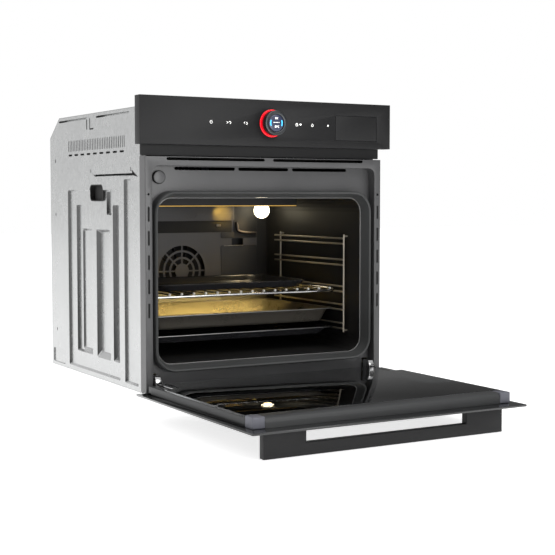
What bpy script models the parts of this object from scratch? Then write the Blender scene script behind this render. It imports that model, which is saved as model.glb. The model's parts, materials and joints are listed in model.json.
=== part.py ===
"""Built-in wall oven with a drop-down door, shown with the door open.

Metres, +Z up, +X to the right of someone facing the oven, +Y into the cabinet.
The origin is on the underside of the casing, on the oven's centre plane.
"""

import math

import bmesh
import bpy
from mathutils import Matrix, Vector

# ---- driving dimensions -------------------------------------------------
FRONT_WIDTH = 0.595  # control fascia and outer door glass
FRONT_HEIGHT = 0.595  # casing underside to fascia top
CASING_WIDTH = 0.559
CASING_TOP = 0.576
FASCIA_FACE_Y = -0.292
CASING_BACK_Y = 0.273

GAP = 0.0003  # between pieces that touch
SHEET = 0.001  # enamelled steel
PANEL_SHEET = 0.0008  # galvanised steel

# control fascia
FASCIA_HEIGHT = 0.096
FASCIA_DEPTH = 0.024
FASCIA_WALL = 0.003
FASCIA_FACE_THICK = 0.004
KNOB_Z = 0.547
KNOB_RADIUS = 0.026
KNOB_DEPTH = 0.0155
KNOB_BORE = 0.0182
DISPLAY_RADIUS = 0.0176
DISPLAY_FACE_THICK = 0.005
DISPLAY_STEM_RADIUS = 0.006
KNOB_FACE_Y = FASCIA_FACE_Y - 0.0192
RING_OUTER = 0.0285
RING_INNER = 0.0215
KNOB_PRESS = 0.0015

# water drawer behind the right end of the fascia
DRAWER_X = (0.1565, 0.2615)
DRAWER_Z = (0.5155, 0.5675)
DRAWER_REAR_Y = -0.115
TANK_WALL = 0.002
TANK_INSET = 0.004
DRAWER_CLEARANCE = 0.0006
GUIDE_CLEARANCE = 0.001

# enamelled front frame
FRAME_WIDTH = 0.563
FRAME_BOTTOM = 0.003
FRAME_TOP = 0.476
RIM_FACE_Y = FASCIA_FACE_Y + 0.0125
RECESS_FLOOR_Y = FASCIA_FACE_Y + 0.036
RETURN_END_Y = RECESS_FLOOR_Y + 0.003
RIM_WIDTH = 0.0155
RECESS_BOTTOM = 0.014
RECESS_TOP = 0.457
RECESS_CORNER = 0.015
RECESS_LOW_CORNER = 0.002
CARRIER_WIDTH = 0.569
CARRIER_FACE_Y = FASCIA_FACE_Y + 0.0275
CARRIER_THICK = 0.003

# cooking cavity
CAVITY_WIDTH = 0.4914
CAVITY_BOTTOM = 0.054
CAVITY_TOP = 0.3936
CAVITY_CORNER = 0.032
CAVITY_BACK_Y = 0.168
SEAL_WIDTH = 0.014
SEAL_INNER_GAP = 0.0008

# air slots in the front frame
TOP_SLOT_Z = 0.4715
TOP_SLOT_HEIGHT = 0.0064
TOP_SLOTS = ((-0.2345, -0.010), (0.010, 0.2345))
LOWER_SLOT_Z = 0.4525
LOWER_SLOT_HEIGHT = 0.0066
LOWER_SLOTS = ((-0.2065, -0.068), (-0.060, 0.060), (0.070, 0.2065))
SIDE_SLOT_X = 0.274
SIDE_SLOT_WIDTH = 0.0043
SIDE_SLOT_LENGTH = 0.0297
SIDE_SLOT_PITCH = 0.0482
SIDE_SLOT_TOP_Z = 0.361
SIDE_SLOT_COUNT = 5
SCREW_HOLE_Z = 0.400
SCREW_HOLE_RADIUS = 0.0026

# meat probe socket
PROBE_X = -0.242
PROBE_Z = 0.4346
PROBE_FLANGE = 0.0134
PROBE_BUSH = 0.0085
PROBE_BORE = 0.0035
PROBE_CAP_RADIUS = 0.0124
PROBE_CAP_PIVOT = 0.0104  # from the cap's centre to its rivet

# door, measured closed
DOOR_TOP = FRONT_HEIGHT - FASCIA_HEIGHT - 0.005
DOOR_BOTTOM = 0.009
DOOR_FACE_Y = FASCIA_FACE_Y - 0.0135
OUTER_GLASS = 0.004
HINGE_Y = -0.2794
HINGE_Z = 0.0235
DOOR_OPEN = math.radians(90)
PACK_HALF = 0.281
PACK_BOTTOM = 0.034
PACK_TOP = 0.464
PACK_BACK_Y = RIM_FACE_Y - 0.0007
INNER_GLASS = 0.0035
MIDDLE_GLASS = 0.003
CAP_WIDTH = 0.024
CAP_LENGTH = 0.028
RAIL_WIDTH = 0.0125
RAIL_FOOT = 0.004
HANDLE_HALF = 0.2605
HANDLE_REACH = 0.0495
HANDLE_THICK = 0.015
HANDLE_TOP_Z = 0.4655
HANDLE_SLOT_HALF = 0.1755
HANDLE_BAR = 0.0225

# door hinges
HINGE_X = 0.257
ARM_WIDTH = 0.012
ARM_END_RADIUS = 0.0062
CHEEK_THICK = 0.0014
CHEEK_GAP = 0.0004
HINGE_CASE_TOP = 0.170
LATCH_LENGTH = 0.066
LATCH_WIDTH = 0.008
LATCH_THICK = 0.0032
LATCH_Z = 0.040

# side racks, shelf and trays
RACK_X = 0.236
RACK_FRONT_Y = -0.2025
RACK_REAR_Y = 0.0806
RACK_TOP = 0.311
RACK_BOTTOM = 0.091
RACK_POST_RADIUS = 0.0022
RAIL_RADIUS = 0.002
RAIL_FRONT_Y = -0.206
RAIL_REAR_Y = 0.102
LEVELS = (0.0994, 0.1417, 0.1825, 0.2424, 0.2902)
LEVEL_GAP = 0.012
TRAY_HALF = 0.2312
TRAY_FRONT_Y = -0.178
TRAY_REAR_Y = 0.138
TRAY_SHEET = 0.0009
SHELF_WIRE = 0.003
SHELF_ROD = 0.0016
SHELF_PITCH = 0.0283
SHELF_RODS = 16
BAKING_HALF = 0.195
BAKING_FRONT_Y = -0.140
BAKING_REAR_Y = 0.110
BAKING_HEIGHT = 0.0145

# fan and heaters
FAN_Z = 0.218
BAFFLE_Y = 0.143
BAFFLE_HALF = 0.204
BAFFLE_Z = (0.070, 0.353)
GRILLE_RADII = ((0.018, 0.029), (0.034, 0.045), (0.050, 0.061))
GRILLE_SPOKES = 8
SPOKE_WIDTH = 0.0035
FAN_RADIUS = 0.068
FAN_BLADES = 10
SHAFT_RADIUS = 0.004
HEATER_RADIUS = 0.00325
RING_HEATER_RADIUS = 0.086
MOTOR_RADIUS = 0.032
MOTOR_Y = (0.194, 0.244)
INSULATION = 0.020

# cooling air and electrics above the cavity
DUCT_Z = (0.445, 0.474)
DUCT_FRONT_HALF = 0.250
DUCT_REAR_HALF = 0.090
DUCT_REAR_Y = 0.055
BLOWER_REAR_Y = 0.210
BLOWER_Y = 0.134
WHEEL_RADIUS = 0.062
WHEEL_BLADES = 14

# side panel openings
GRIP_Y = (-0.0532, 0.023)
GRIP_Z = (0.3856, 0.4217)
GRIP_DEPTH = 0.009
DASH_Z = 0.4886
DASH_FIRST_Y = -0.1585
DASH_PITCH = 0.0373
DASH_COUNT = 9
DASH_SIZE = (0.0215, 0.0042)
LONG_SLOT_Z = 0.5665
LONG_SLOTS = ((-0.198, -0.019), (0.037, 0.211))
CHAMFER_TOP_Y = 0.2107
CHAMFER_BOTTOM_Z = 0.531

# ---- scene set-up -------------------------------------------------------
for old in list(bpy.data.objects):
    bpy.data.objects.remove(old, do_unlink=True)

oven = bpy.data.collections.new("wall_oven")
cutting = bpy.data.collections.new("cutters")
for group in (oven, cutting):
    bpy.context.scene.collection.children.link(group)

PLANES = {
    "XY": Matrix.Identity(3),
    "XZ": Matrix(((1, 0, 0), (0, 0, -1), (0, 1, 0))),
    "YZ": Matrix(((0, 0, 1), (1, 0, 0), (0, 1, 0))),
}


def finish(name, colour, roughness, metallic=0.0, alpha=1.0):
    """A Principled material."""
    made = bpy.data.materials.new(name)
    made.use_nodes = True
    made.diffuse_color = (*colour, alpha)
    shader = made.node_tree.nodes["Principled BSDF"]
    shader.inputs["Base Color"].default_value = (*colour, 1.0)
    shader.inputs["Roughness"].default_value = roughness
    shader.inputs["Metallic"].default_value = metallic
    shader.inputs["Alpha"].default_value = alpha
    return made


FINISHES = {
    "fascia": ((0.04, 0.042, 0.043), 0.45),
    "black_plastic": ((0.02, 0.02, 0.021), 0.5),
    "enamel": ((0.125, 0.13, 0.135), 0.35),
    "cavity_enamel": ((0.03, 0.03, 0.032), 0.25),
    "galvanised": ((0.58, 0.58, 0.58), 0.4, 0.9),
    "steel": ((0.55, 0.55, 0.56), 0.35, 1.0),
    "chrome": ((0.75, 0.75, 0.76), 0.12, 1.0),
    "tray_steel": ((0.62, 0.6, 0.56), 0.25, 1.0),
    "dark_tray": ((0.05, 0.052, 0.06), 0.35),
    "glass": ((0.03, 0.032, 0.035), 0.05, 0.0, 0.7),
    "lamp_glass": ((1.0, 0.9, 0.7), 0.2, 0.0, 0.8),
    "silicone": ((0.05, 0.05, 0.052), 0.7),
    "wool": ((0.7, 0.66, 0.5), 0.95),
    "board": ((0.03, 0.16, 0.08), 0.5),
    "red_light": ((0.7, 0.02, 0.05), 0.4),
    "display": ((0.08, 0.09, 0.13), 0.15),
    "grey_plastic": ((0.2, 0.2, 0.22), 0.5),
    "clear_plastic": ((0.6, 0.65, 0.68), 0.15, 0.0, 0.5),
    "ceramic": ((0.75, 0.73, 0.68), 0.6),
}


def add(name, data, colour, parent=None, group=None):
    """Put a mesh or curve in the scene with a material of its own."""
    made = bpy.data.objects.new(name, data)
    (group or oven).objects.link(made)
    if colour:
        data.materials.append(finish(name + "_finish", *FINISHES[colour]))
    if parent:
        made.parent = parent
    return made


# ---- outlines -----------------------------------------------------------
def arc(centre, radius, start, end, steps):
    """Points along an arc, angles in degrees."""
    points = []
    for i in range(steps + 1):
        angle = math.radians(start + (end - start) * i / steps)
        points.append((centre[0] + radius * math.cos(angle), centre[1] + radius * math.sin(angle)))
    return points


def rounded(low, high, radius, steps=4, low_radius=None):
    """A rectangle from low to high with rounded corners, anticlockwise."""
    if radius <= 0:
        return [low, (high[0], low[1]), high, (low[0], high[1])]
    (u0, v0), (u1, v1) = low, high
    corners = ((u1, v0, -90), (u1, v1, 0), (u0, v1, 90), (u0, v0, 180))
    points = []
    for u, v, start in corners:
        r = low_radius if low_radius and v == v0 else radius
        centre = (u - r if u == u1 else u + r, v - r if v == v1 else v + r)
        points += arc(centre, r, start, start + 90, steps)
    return points


def circle(centre, radius, steps=24):
    return arc(centre, radius, 0, 360, steps)[:-1]


def cavity_outline(grow=0.0, steps=6):
    half = CAVITY_WIDTH / 2 + grow
    low, high = (-half, CAVITY_BOTTOM - grow), (half, CAVITY_TOP + grow)
    return rounded(low, high, CAVITY_CORNER + grow, steps)


# ---- solids -------------------------------------------------------------
def sheet(name, loops, across, plane, colour, parent=None, group=None):
    """A flat outline with holes, from one value to another across its plane.

    XZ lies across Y, YZ across X and XY across Z.
    """
    curve = bpy.data.curves.new(name, "CURVE")
    curve.dimensions = "2D"
    curve.fill_mode = "BOTH"
    curve.extrude = abs(across[1] - across[0]) / 2
    for loop in loops:
        spline = curve.splines.new("POLY")
        spline.points.add(len(loop) - 1)
        for point, (u, v) in zip(spline.points, loop):
            point.co = (u, v, 0, 1)
        spline.use_cyclic_u = True
    made = add(name, curve, colour, parent, group)
    middle = (across[0] + across[1]) / 2
    turned = PLANES[plane]
    normal = Vector({"XY": (0, 0, 1), "XZ": (0, 1, 0), "YZ": (1, 0, 0)}[plane])
    made.matrix_local = Matrix.Translation(normal * middle) @ turned.to_4x4()
    return made


def as_mesh(curve_object):
    """Replace a curve by its welded mesh, so that it can be cut or joined."""
    bpy.context.view_layer.update()
    seen = curve_object.evaluated_get(bpy.context.evaluated_depsgraph_get())
    mesh = bpy.data.meshes.new_from_object(seen)
    name = curve_object.name
    bm = bmesh.new()
    bm.from_mesh(mesh)
    bmesh.ops.remove_doubles(bm, verts=bm.verts, dist=1e-6)
    bmesh.ops.recalc_face_normals(bm, faces=bm.faces)
    bm.to_mesh(mesh)
    bm.free()
    made = bpy.data.objects.new(name + "_mesh", mesh)
    for group in curve_object.users_collection:
        group.objects.link(made)
    made.parent = curve_object.parent
    made.matrix_local = curve_object.matrix_local
    bpy.data.objects.remove(curve_object, do_unlink=True)
    made.name = name
    return made


def slab(name, loops, across, plane, colour=None, parent=None, group=None):
    """A sheet that can be cut."""
    return as_mesh(sheet(name, loops, across, plane, colour, parent, group))


def box(name, low, high, colour=None, parent=None, group=None):
    bm = bmesh.new()
    size = [b - a for a, b in zip(low, high)]
    bmesh.ops.create_cube(bm, size=1, matrix=Matrix.Diagonal((*size, 1)))
    mesh = bpy.data.meshes.new(name)
    bm.to_mesh(mesh)
    bm.free()
    made = add(name, mesh, colour, parent, group)
    made.location = [(a + b) / 2 for a, b in zip(low, high)]
    return made


def bevel(made, width, segments=2):
    edge = made.modifiers.new("round", "BEVEL")
    edge.width = width
    edge.segments = segments
    edge.limit_method = "ANGLE"
    return made


def tube(name, points, radius, colour=None, parent=None, cyclic=False, sides=2, group=None):
    """A round bar or pipe along a line of points."""
    curve = bpy.data.curves.new(name, "CURVE")
    curve.dimensions = "3D"
    curve.bevel_depth = radius
    curve.bevel_resolution = sides
    curve.use_fill_caps = not cyclic
    spline = curve.splines.new("POLY")
    spline.points.add(len(points) - 1)
    for point, place in zip(spline.points, points):
        point.co = (*place, 1)
    spline.use_cyclic_u = cyclic
    return add(name, curve, colour, parent, group)


def turned(name, profile, axis_place, plane, colour, parent=None, steps=24, group=None):
    """A profile of (radius, height) points spun about its axis, outer side from top to bottom.

    The height runs along Z in plane XY, and along -Y in plane XZ.
    """
    mesh = bpy.data.meshes.new(name)
    bm = bmesh.new()
    places = [bm.verts.new((radius, 0, height)) for radius, height in profile]
    for first, second in zip(places, places[1:]):
        bm.edges.new((first, second))
    bm.to_mesh(mesh)
    bm.free()
    made = add(name, mesh, colour, parent, group)
    screw = made.modifiers.new("turn", "SCREW")
    screw.steps = screw.render_steps = steps
    screw.use_merge_vertices = True
    screw.merge_threshold = 0.00001
    made.matrix_local = Matrix.Translation(axis_place) @ PLANES[plane].to_4x4()
    return made


def modify(made, operation, others):
    """Cut from, or join to, an object."""
    tools = bpy.data.collections.new(f"{made.name}_{operation.lower()}")
    cutting.children.link(tools)
    for other in others:
        for group in list(other.users_collection):
            group.objects.unlink(other)
        tools.objects.link(other)
        other.hide_render = True
        other.display_type = "WIRE"
    step = made.modifiers.new(operation.lower(), "BOOLEAN")
    step.operation = operation
    step.operand_type = "COLLECTION"
    step.collection = tools
    return made


def cut(made, others):
    return modify(made, "DIFFERENCE", others)


def join(made, others):
    return modify(made, "UNION", others)


def slot(low, high, across, plane, radius=None):
    """A cutter with round ends, or with a corner radius of its own."""
    ends = min(high[0] - low[0], high[1] - low[1]) / 2 * 0.98 if radius is None else radius
    return slab("slot", [rounded(low, high, ends, 4)], across, plane, group=cutting)


def hole(centre, radius, across, plane, steps=16):
    return slab("hole", [circle(centre, radius, steps)], across, plane, group=cutting)


def shell(name, outline, inner, across, open_past, closed_at, plane, colour):
    """A pan-shaped sheet: an outline with its inside cut away from one end."""
    made = slab(name, [outline], across, plane, colour)
    inside = slab("inside", [inner], (open_past, closed_at), plane, group=cutting)
    return cut(made, [inside])


def open_pan(name, loops, thickness, colour, parent=None):
    """Sheet metal formed through rings of points, with the last ring closed as the floor."""
    mesh = bpy.data.meshes.new(name)
    bm = bmesh.new()
    rings = []
    for loop in loops:
        verts = [bm.verts.new(point) for point in loop]
        rings.append([bm.edges.new((a, b)) for a, b in zip(verts, verts[1:] + verts[:1])])
    for first, second in zip(rings, rings[1:]):
        bmesh.ops.bridge_loops(bm, edges=first + second)
    bmesh.ops.edgeloop_fill(bm, edges=rings[-1])
    bmesh.ops.recalc_face_normals(bm, faces=bm.faces)
    bm.to_mesh(mesh)
    bm.free()
    made = add(name, mesh, colour, parent)
    wall = made.modifiers.new("wall", "SOLIDIFY")
    wall.thickness = thickness
    wall.offset = 0
    return made


def both_sides(build):
    """Make a left and a right piece; build is given the side's name and sign."""
    return [build("left", -1), build("right", 1)]


# ---- control panel ------------------------------------------------------
def control_panel():
    half = FRONT_WIDTH / 2
    bottom = FRONT_HEIGHT - FASCIA_HEIGHT
    back = FASCIA_FACE_Y + FASCIA_DEPTH
    fascia = box("control_fascia", (-half, FASCIA_FACE_Y, bottom), (half, back, FRONT_HEIGHT), "fascia")
    wall = FASCIA_WALL
    face_back = FASCIA_FACE_Y + FASCIA_FACE_THICK
    through = (FASCIA_FACE_Y - 0.01, face_back + 0.01)
    c = DRAWER_CLEARANCE
    cut(fascia, [
        box("hollow", (-half + wall, face_back, bottom + wall), (half - wall, back + 0.01, FRONT_HEIGHT - wall),
            group=cutting),
        hole((0, KNOB_Z), RING_OUTER + GAP, through, "XZ", 32),
        slot((DRAWER_X[0] - c, DRAWER_Z[0] - c), (DRAWER_X[1] + c, DRAWER_Z[1] + c), through, "XZ", 0.001),
    ])

    carrier_back = CARRIER_FACE_Y + CARRIER_THICK
    carrier_top = FRONT_HEIGHT - FASCIA_WALL - 0.002
    window = 0.004
    sheet("fascia_carrier", [
        rounded((-CARRIER_WIDTH / 2, FRAME_TOP + 0.002), (CARRIER_WIDTH / 2, carrier_top), 0.002, 2),
        rounded((DRAWER_X[0] - window, DRAWER_Z[0] - window), (DRAWER_X[1] + window, DRAWER_Z[1] + window), 0.002, 2),
        rounded((-0.120, KNOB_Z - 0.020), (0.120, KNOB_Z + 0.020), 0.004, 2),
    ], (CARRIER_FACE_Y, carrier_back), "XZ", "black_plastic")

    board_y = face_back + 0.004
    sheet("control_board", [rounded((-0.148, KNOB_Z - 0.024), (0.148, KNOB_Z + 0.024), 0.003, 2)],
          (board_y + 0.002, board_y + 0.0036), "XZ", "board")
    sheet("knob_light_ring", [circle((0, KNOB_Z), RING_OUTER, 32), circle((0, KNOB_Z), RING_INNER, 32)],
          (FASCIA_FACE_Y - 0.0006, face_back - 0.0005), "XZ", "red_light")

    ring_back = KNOB_FACE_Y + KNOB_DEPTH
    sheet("dial_ring", [circle((0, KNOB_Z), KNOB_RADIUS, 40), circle((0, KNOB_Z), KNOB_BORE, 32)],
          (KNOB_FACE_Y, ring_back), "XZ", "black_plastic")
    stem_end = board_y - GAP
    face = DISPLAY_FACE_THICK
    display = [(0, 0), (DISPLAY_RADIUS, 0), (DISPLAY_RADIUS, -face), (DISPLAY_STEM_RADIUS, -face),
               (DISPLAY_STEM_RADIUS, KNOB_FACE_Y - stem_end), (0, KNOB_FACE_Y - stem_end)]
    turned("dial_display", display, (0, KNOB_FACE_Y, KNOB_Z), "XZ", "display", steps=32)


def water_drawer():
    low, high = (DRAWER_X[0], DRAWER_Z[0]), (DRAWER_X[1], DRAWER_Z[1])
    front_back = FASCIA_FACE_Y + FASCIA_FACE_THICK
    sheet("water_drawer_front", [rounded(low, high, 0.0008, 2)], (FASCIA_FACE_Y, front_back), "XZ", "fascia")
    inset, wall = TANK_INSET, TANK_WALL
    outer_low = (low[0] + inset, front_back + GAP, low[1] + inset)
    outer_high = (high[0] - inset, DRAWER_REAR_Y, high[1] - inset)
    tank = box("water_tank", outer_low, outer_high, "clear_plastic")
    inner_low = [value + wall for value in outer_low]
    inner_high = (outer_high[0] - wall, outer_high[1] - wall, outer_high[2] + 0.01)
    cut(tank, [box("inside", inner_low, inner_high, group=cutting)])

    c, thick = GUIDE_CLEARANCE, 0.0015
    left, right = outer_low[0] - c, outer_high[0] + c
    floor, top = outer_low[2] - c, outer_high[2] - 0.004
    trough = [(left - thick, floor - thick), (right + thick, floor - thick), (right + thick, top), (right, top),
              (right, floor), (left, floor), (left, top), (left - thick, top)]
    sheet("tank_guide", [trough], (CARRIER_FACE_Y + CARRIER_THICK + 0.001, DRAWER_REAR_Y + 0.01), "XZ",
          "grey_plastic")


# ---- front frame, seal and probe socket ---------------------------------
def front_frame():
    half, inner = FRAME_WIDTH / 2, FRAME_WIDTH / 2 - RIM_WIDTH
    frame = box("front_frame", (-half, RIM_FACE_Y, FRAME_BOTTOM), (half, RETURN_END_Y, FRAME_TOP), "enamel")
    behind = (RIM_FACE_Y + SHEET, RETURN_END_Y + 0.01)
    floor_back = RECESS_FLOOR_Y + SHEET
    recess = rounded((-inner, RECESS_BOTTOM), (inner, RECESS_TOP), RECESS_CORNER, 4, RECESS_LOW_CORNER)
    skin = rounded((-inner - SHEET, RECESS_BOTTOM - SHEET), (inner + SHEET, RECESS_TOP + SHEET),
                   RECESS_CORNER + SHEET, 4, RECESS_LOW_CORNER + SHEET)
    edge = rounded((-half + SHEET, FRAME_BOTTOM + SHEET), (half - SHEET, FRAME_TOP - SHEET), 0)
    floor = (RECESS_FLOOR_Y - 0.002, floor_back + 0.002)
    face = (RIM_FACE_Y - 0.002, RIM_FACE_Y + SHEET + 0.002)
    cutters = [
        slab("recess", [recess], (RIM_FACE_Y - 0.01, RECESS_FLOOR_Y), "XZ", group=cutting),
        slab("rim_channel", [edge, skin], behind, "XZ", group=cutting),
        slab("floor_back", [skin], (floor_back, RETURN_END_Y + 0.011), "XZ", group=cutting),
        slab("opening", [cavity_outline()], (RECESS_FLOOR_Y - 0.003, floor_back + 0.003), "XZ", group=cutting),
        hole((PROBE_X, PROBE_Z), PROBE_BUSH + GAP, floor, "XZ"),
    ]
    for start, end in TOP_SLOTS:
        h = TOP_SLOT_HEIGHT / 2
        cutters.append(slot((start, TOP_SLOT_Z - h), (end, TOP_SLOT_Z + h - 0.0005), face, "XZ"))
    for start, end in LOWER_SLOTS:
        h = LOWER_SLOT_HEIGHT / 2
        cutters.append(slot((start, LOWER_SLOT_Z - h), (end, LOWER_SLOT_Z + h), floor, "XZ"))
    for side in (-1, 1):
        x = side * SIDE_SLOT_X
        for i in range(SIDE_SLOT_COUNT):
            z = SIDE_SLOT_TOP_Z - i * SIDE_SLOT_PITCH
            w, h = SIDE_SLOT_WIDTH / 2, SIDE_SLOT_LENGTH / 2
            cutters.append(slot((x - w, z - h), (x + w, z + h), face, "XZ"))
        cutters.append(hole((x, SCREW_HOLE_Z), SCREW_HOLE_RADIUS, face, "XZ", 12))
        arm = side * HINGE_X
        reach = ARM_WIDTH / 2 + 0.0015
        cutters.append(slot((arm - reach, RECESS_BOTTOM + 0.0005), (arm + reach, 0.0385), floor, "XZ", 0.001))
    cut(frame, cutters)


def door_seal():
    """A hollow-lipped ring whose crest leans away from the opening."""
    crest = PACK_BACK_Y + 0.0004
    foot = RECESS_FLOOR_Y - GAP
    section = ((SEAL_INNER_GAP, foot), (SEAL_WIDTH, foot), (SEAL_WIDTH - 0.001, crest + 0.003),
               (SEAL_WIDTH - 0.003, crest), (SEAL_WIDTH - 0.006, crest + 0.002))
    mesh = bpy.data.meshes.new("door_seal")
    bm = bmesh.new()
    rings = []
    for grow, y in section:
        verts = [bm.verts.new((x, y, z)) for x, z in cavity_outline(grow)]
        rings.append([bm.edges.new((a, b)) for a, b in zip(verts, verts[1:] + verts[:1])])
    for i, ring in enumerate(rings):
        bmesh.ops.bridge_loops(bm, edges=ring + rings[(i + 1) % len(rings)])
    bmesh.ops.recalc_face_normals(bm, faces=bm.faces)
    bm.to_mesh(mesh)
    bm.free()
    add("door_seal", mesh, "silicone")


def probe_socket():
    floor = RECESS_FLOOR_Y
    flange = 0.003
    back = floor + 0.018
    profile = [(PROBE_BORE, floor - GAP - flange), (PROBE_FLANGE, floor - GAP - flange), (PROBE_FLANGE, floor - GAP),
               (PROBE_BUSH, floor - GAP), (PROBE_BUSH, back), (0, back), (0, back - 0.003),
               (PROBE_BORE, back - 0.003), (PROBE_BORE, floor - GAP - flange)]
    turned("probe_socket", [(radius, -y) for radius, y in profile], (PROBE_X, 0, PROBE_Z), "XZ", "enamel", steps=20)
    cap_back = floor - GAP - flange - GAP
    sheet("probe_cap", [circle((PROBE_X, PROBE_Z), PROBE_CAP_RADIUS, 24)], (cap_back - 0.0025, cap_back), "XZ",
          "grey_plastic")


# ---- cooking cavity -----------------------------------------------------
LAMP_X, LAMP_Y, LAMP_RADIUS, LAMP_BOTTOM = 0.194, 0.100, 0.019, 0.343
SENSOR_X, SENSOR_Z = -0.120, 0.372
STEAM_X, STEAM_Z, STEAM_RADIUS = 0.146, 0.332, 0.004


def cavity():
    front = RECESS_FLOOR_Y + SHEET + GAP
    muffle = shell("cavity_muffle", cavity_outline(SHEET), cavity_outline(), (front, CAVITY_BACK_Y + SHEET),
                   front - 0.01, CAVITY_BACK_Y, "XZ", "cavity_enamel")
    back = (CAVITY_BACK_Y - 0.005, CAVITY_BACK_Y + 0.005)
    cut(muffle, [
        hole((0, FAN_Z), SHAFT_RADIUS + 0.004, back, "XZ"),
        hole((LAMP_X, LAMP_Y), LAMP_RADIUS + 0.002, (CAVITY_TOP - 0.005, CAVITY_TOP + 0.005), "XY", 20),
        hole((STEAM_X, STEAM_Z), STEAM_RADIUS + 0.001, back, "XZ", 12),
        hole((SENSOR_X, SENSOR_Z), 0.0035, back, "XZ", 12),
    ])

    under = CAVITY_BOTTOM - 0.014
    inner = rounded((-CAVITY_WIDTH / 2 - 0.0025, under), (CAVITY_WIDTH / 2 + 0.0025, CAVITY_TOP + 0.002), 0.026, 5)
    grow = INSULATION
    outer = rounded((-CAVITY_WIDTH / 2 - grow, under - 0.018), (CAVITY_WIDTH / 2 + grow, CAVITY_TOP + grow + 0.004),
                    0.040, 5)
    wool_back = CAVITY_BACK_Y + SHEET + GAP
    wool = shell("insulation_wrap", outer, inner, (RECESS_FLOOR_Y + 0.026, wool_back + grow),
                 RECESS_FLOOR_Y, wool_back, "XZ", "wool")
    rear = (wool_back - 0.01, wool_back + grow + 0.01)
    cut(wool, [
        hole((0, FAN_Z), SHAFT_RADIUS + 0.005, rear, "XZ"),
        hole((LAMP_X, LAMP_Y), LAMP_RADIUS + 0.006, (CAVITY_TOP - 0.01, CAVITY_TOP + grow + 0.02), "XY", 20),
        hole((STEAM_X, STEAM_Z), STEAM_RADIUS + 0.002, rear, "XZ", 12),
        hole((SENSOR_X, SENSOR_Z), 0.0045, rear, "XZ", 12),
    ])

    ceiling = CAVITY_TOP - GAP
    skirt_y, skirt_low, t = -0.031, 0.374, SHEET
    flange_end = skirt_y + 0.050
    profile = [(skirt_y, skirt_low), (skirt_y + t, skirt_low), (skirt_y + t, ceiling - t), (flange_end, ceiling - t),
               (flange_end, ceiling), (skirt_y, ceiling)]
    sheet("grill_shield", [profile], (-0.2155, 0.2155), "YZ", "cavity_enamel")


def serpentine(half_width, front, rear, runs, height):
    """Points of a flat heating loop that snakes from left to right."""
    points = []
    pitch = 2 * half_width / (runs - 1)
    for i in range(runs):
        x = -half_width + i * pitch
        ends = [(x, rear, height), (x, front, height)]
        points += ends if i % 2 == 0 else ends[::-1]
    return points


def heaters_and_fan():
    loop = serpentine(0.150, -0.015, 0.085, 6, 0.383)
    wall = CAVITY_BACK_Y - GAP
    tube("grill_element", [(-0.150, wall, 0.383), *loop[1:-1], (0.150, wall, 0.383)], HEATER_RADIUS, "steel")
    tube("bottom_heater", serpentine(0.170, -0.170, 0.120, 6, CAVITY_BOTTOM - 0.0065), HEATER_RADIUS, "steel")
    ring_y = BAFFLE_Y + 0.0125
    ring = [(x, ring_y, z) for x, z in circle((0, FAN_Z), RING_HEATER_RADIUS, 28)]
    tube("ring_heater", ring, HEATER_RADIUS, "steel", cyclic=True)

    baffle = shell("fan_baffle", rounded((-BAFFLE_HALF, BAFFLE_Z[0]), (BAFFLE_HALF, BAFFLE_Z[1]), 0.008, 2),
                   rounded((-BAFFLE_HALF + SHEET, BAFFLE_Z[0] + SHEET), (BAFFLE_HALF - SHEET, BAFFLE_Z[1] - SHEET),
                           0.007, 2),
                   (BAFFLE_Y, CAVITY_BACK_Y - GAP), CAVITY_BACK_Y + 0.01, BAFFLE_Y + SHEET, "XZ", "cavity_enamel")
    through = (BAFFLE_Y - 0.003, BAFFLE_Y + 0.004)
    cutters = [hole((STEAM_X, STEAM_Z), STEAM_RADIUS + 0.001, through, "XZ", 12),
               slot((0.134, 0.278), (0.166, 0.294), through, "XZ", 0.0015)]
    for inner, outer in GRILLE_RADII:
        for i in range(GRILLE_SPOKES):
            start, end = [i * 360 / GRILLE_SPOKES, (i + 1) * 360 / GRILLE_SPOKES]
            trim = [math.degrees(SPOKE_WIDTH / 2 / radius) for radius in (inner, outer)]
            window = arc((0, FAN_Z), outer, start + trim[1], end - trim[1], 4)
            window += arc((0, FAN_Z), inner, end - trim[0], start + trim[0], 3)
            cutters.append(slab("window", [window], through, "XZ", group=cutting))
    cut(baffle, cutters)

    disc_y = BAFFLE_Y + 0.018
    fan = slab("convection_fan", [circle((0, FAN_Z), FAN_RADIUS, 32)], (disc_y, disc_y + 0.0012), "XZ", "steel")
    parts = [slab("shaft", [circle((0, FAN_Z), SHAFT_RADIUS, 12)], (disc_y - 0.008, MOTOR_Y[1] - 0.006), "XZ",
                  group=cutting)]
    for i in range(FAN_BLADES):
        blade = box("blade", (0.026, disc_y - 0.011, -0.0006), (FAN_RADIUS - 0.002, disc_y + 0.0005, 0.0006),
                    group=cutting)
        turn = Matrix.Rotation(math.radians(i * 360 / FAN_BLADES), 4, "Y")
        blade.matrix_world = Matrix.Translation((0, 0, FAN_Z)) @ turn @ Matrix.Translation(blade.location)
        parts.append(blade)
    join(fan, parts)
    motor = [circle((0, FAN_Z), MOTOR_RADIUS, 28), circle((0, FAN_Z), SHAFT_RADIUS + 0.0004, 12)]
    sheet("fan_motor", motor, MOTOR_Y, "XZ", "steel")


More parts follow.
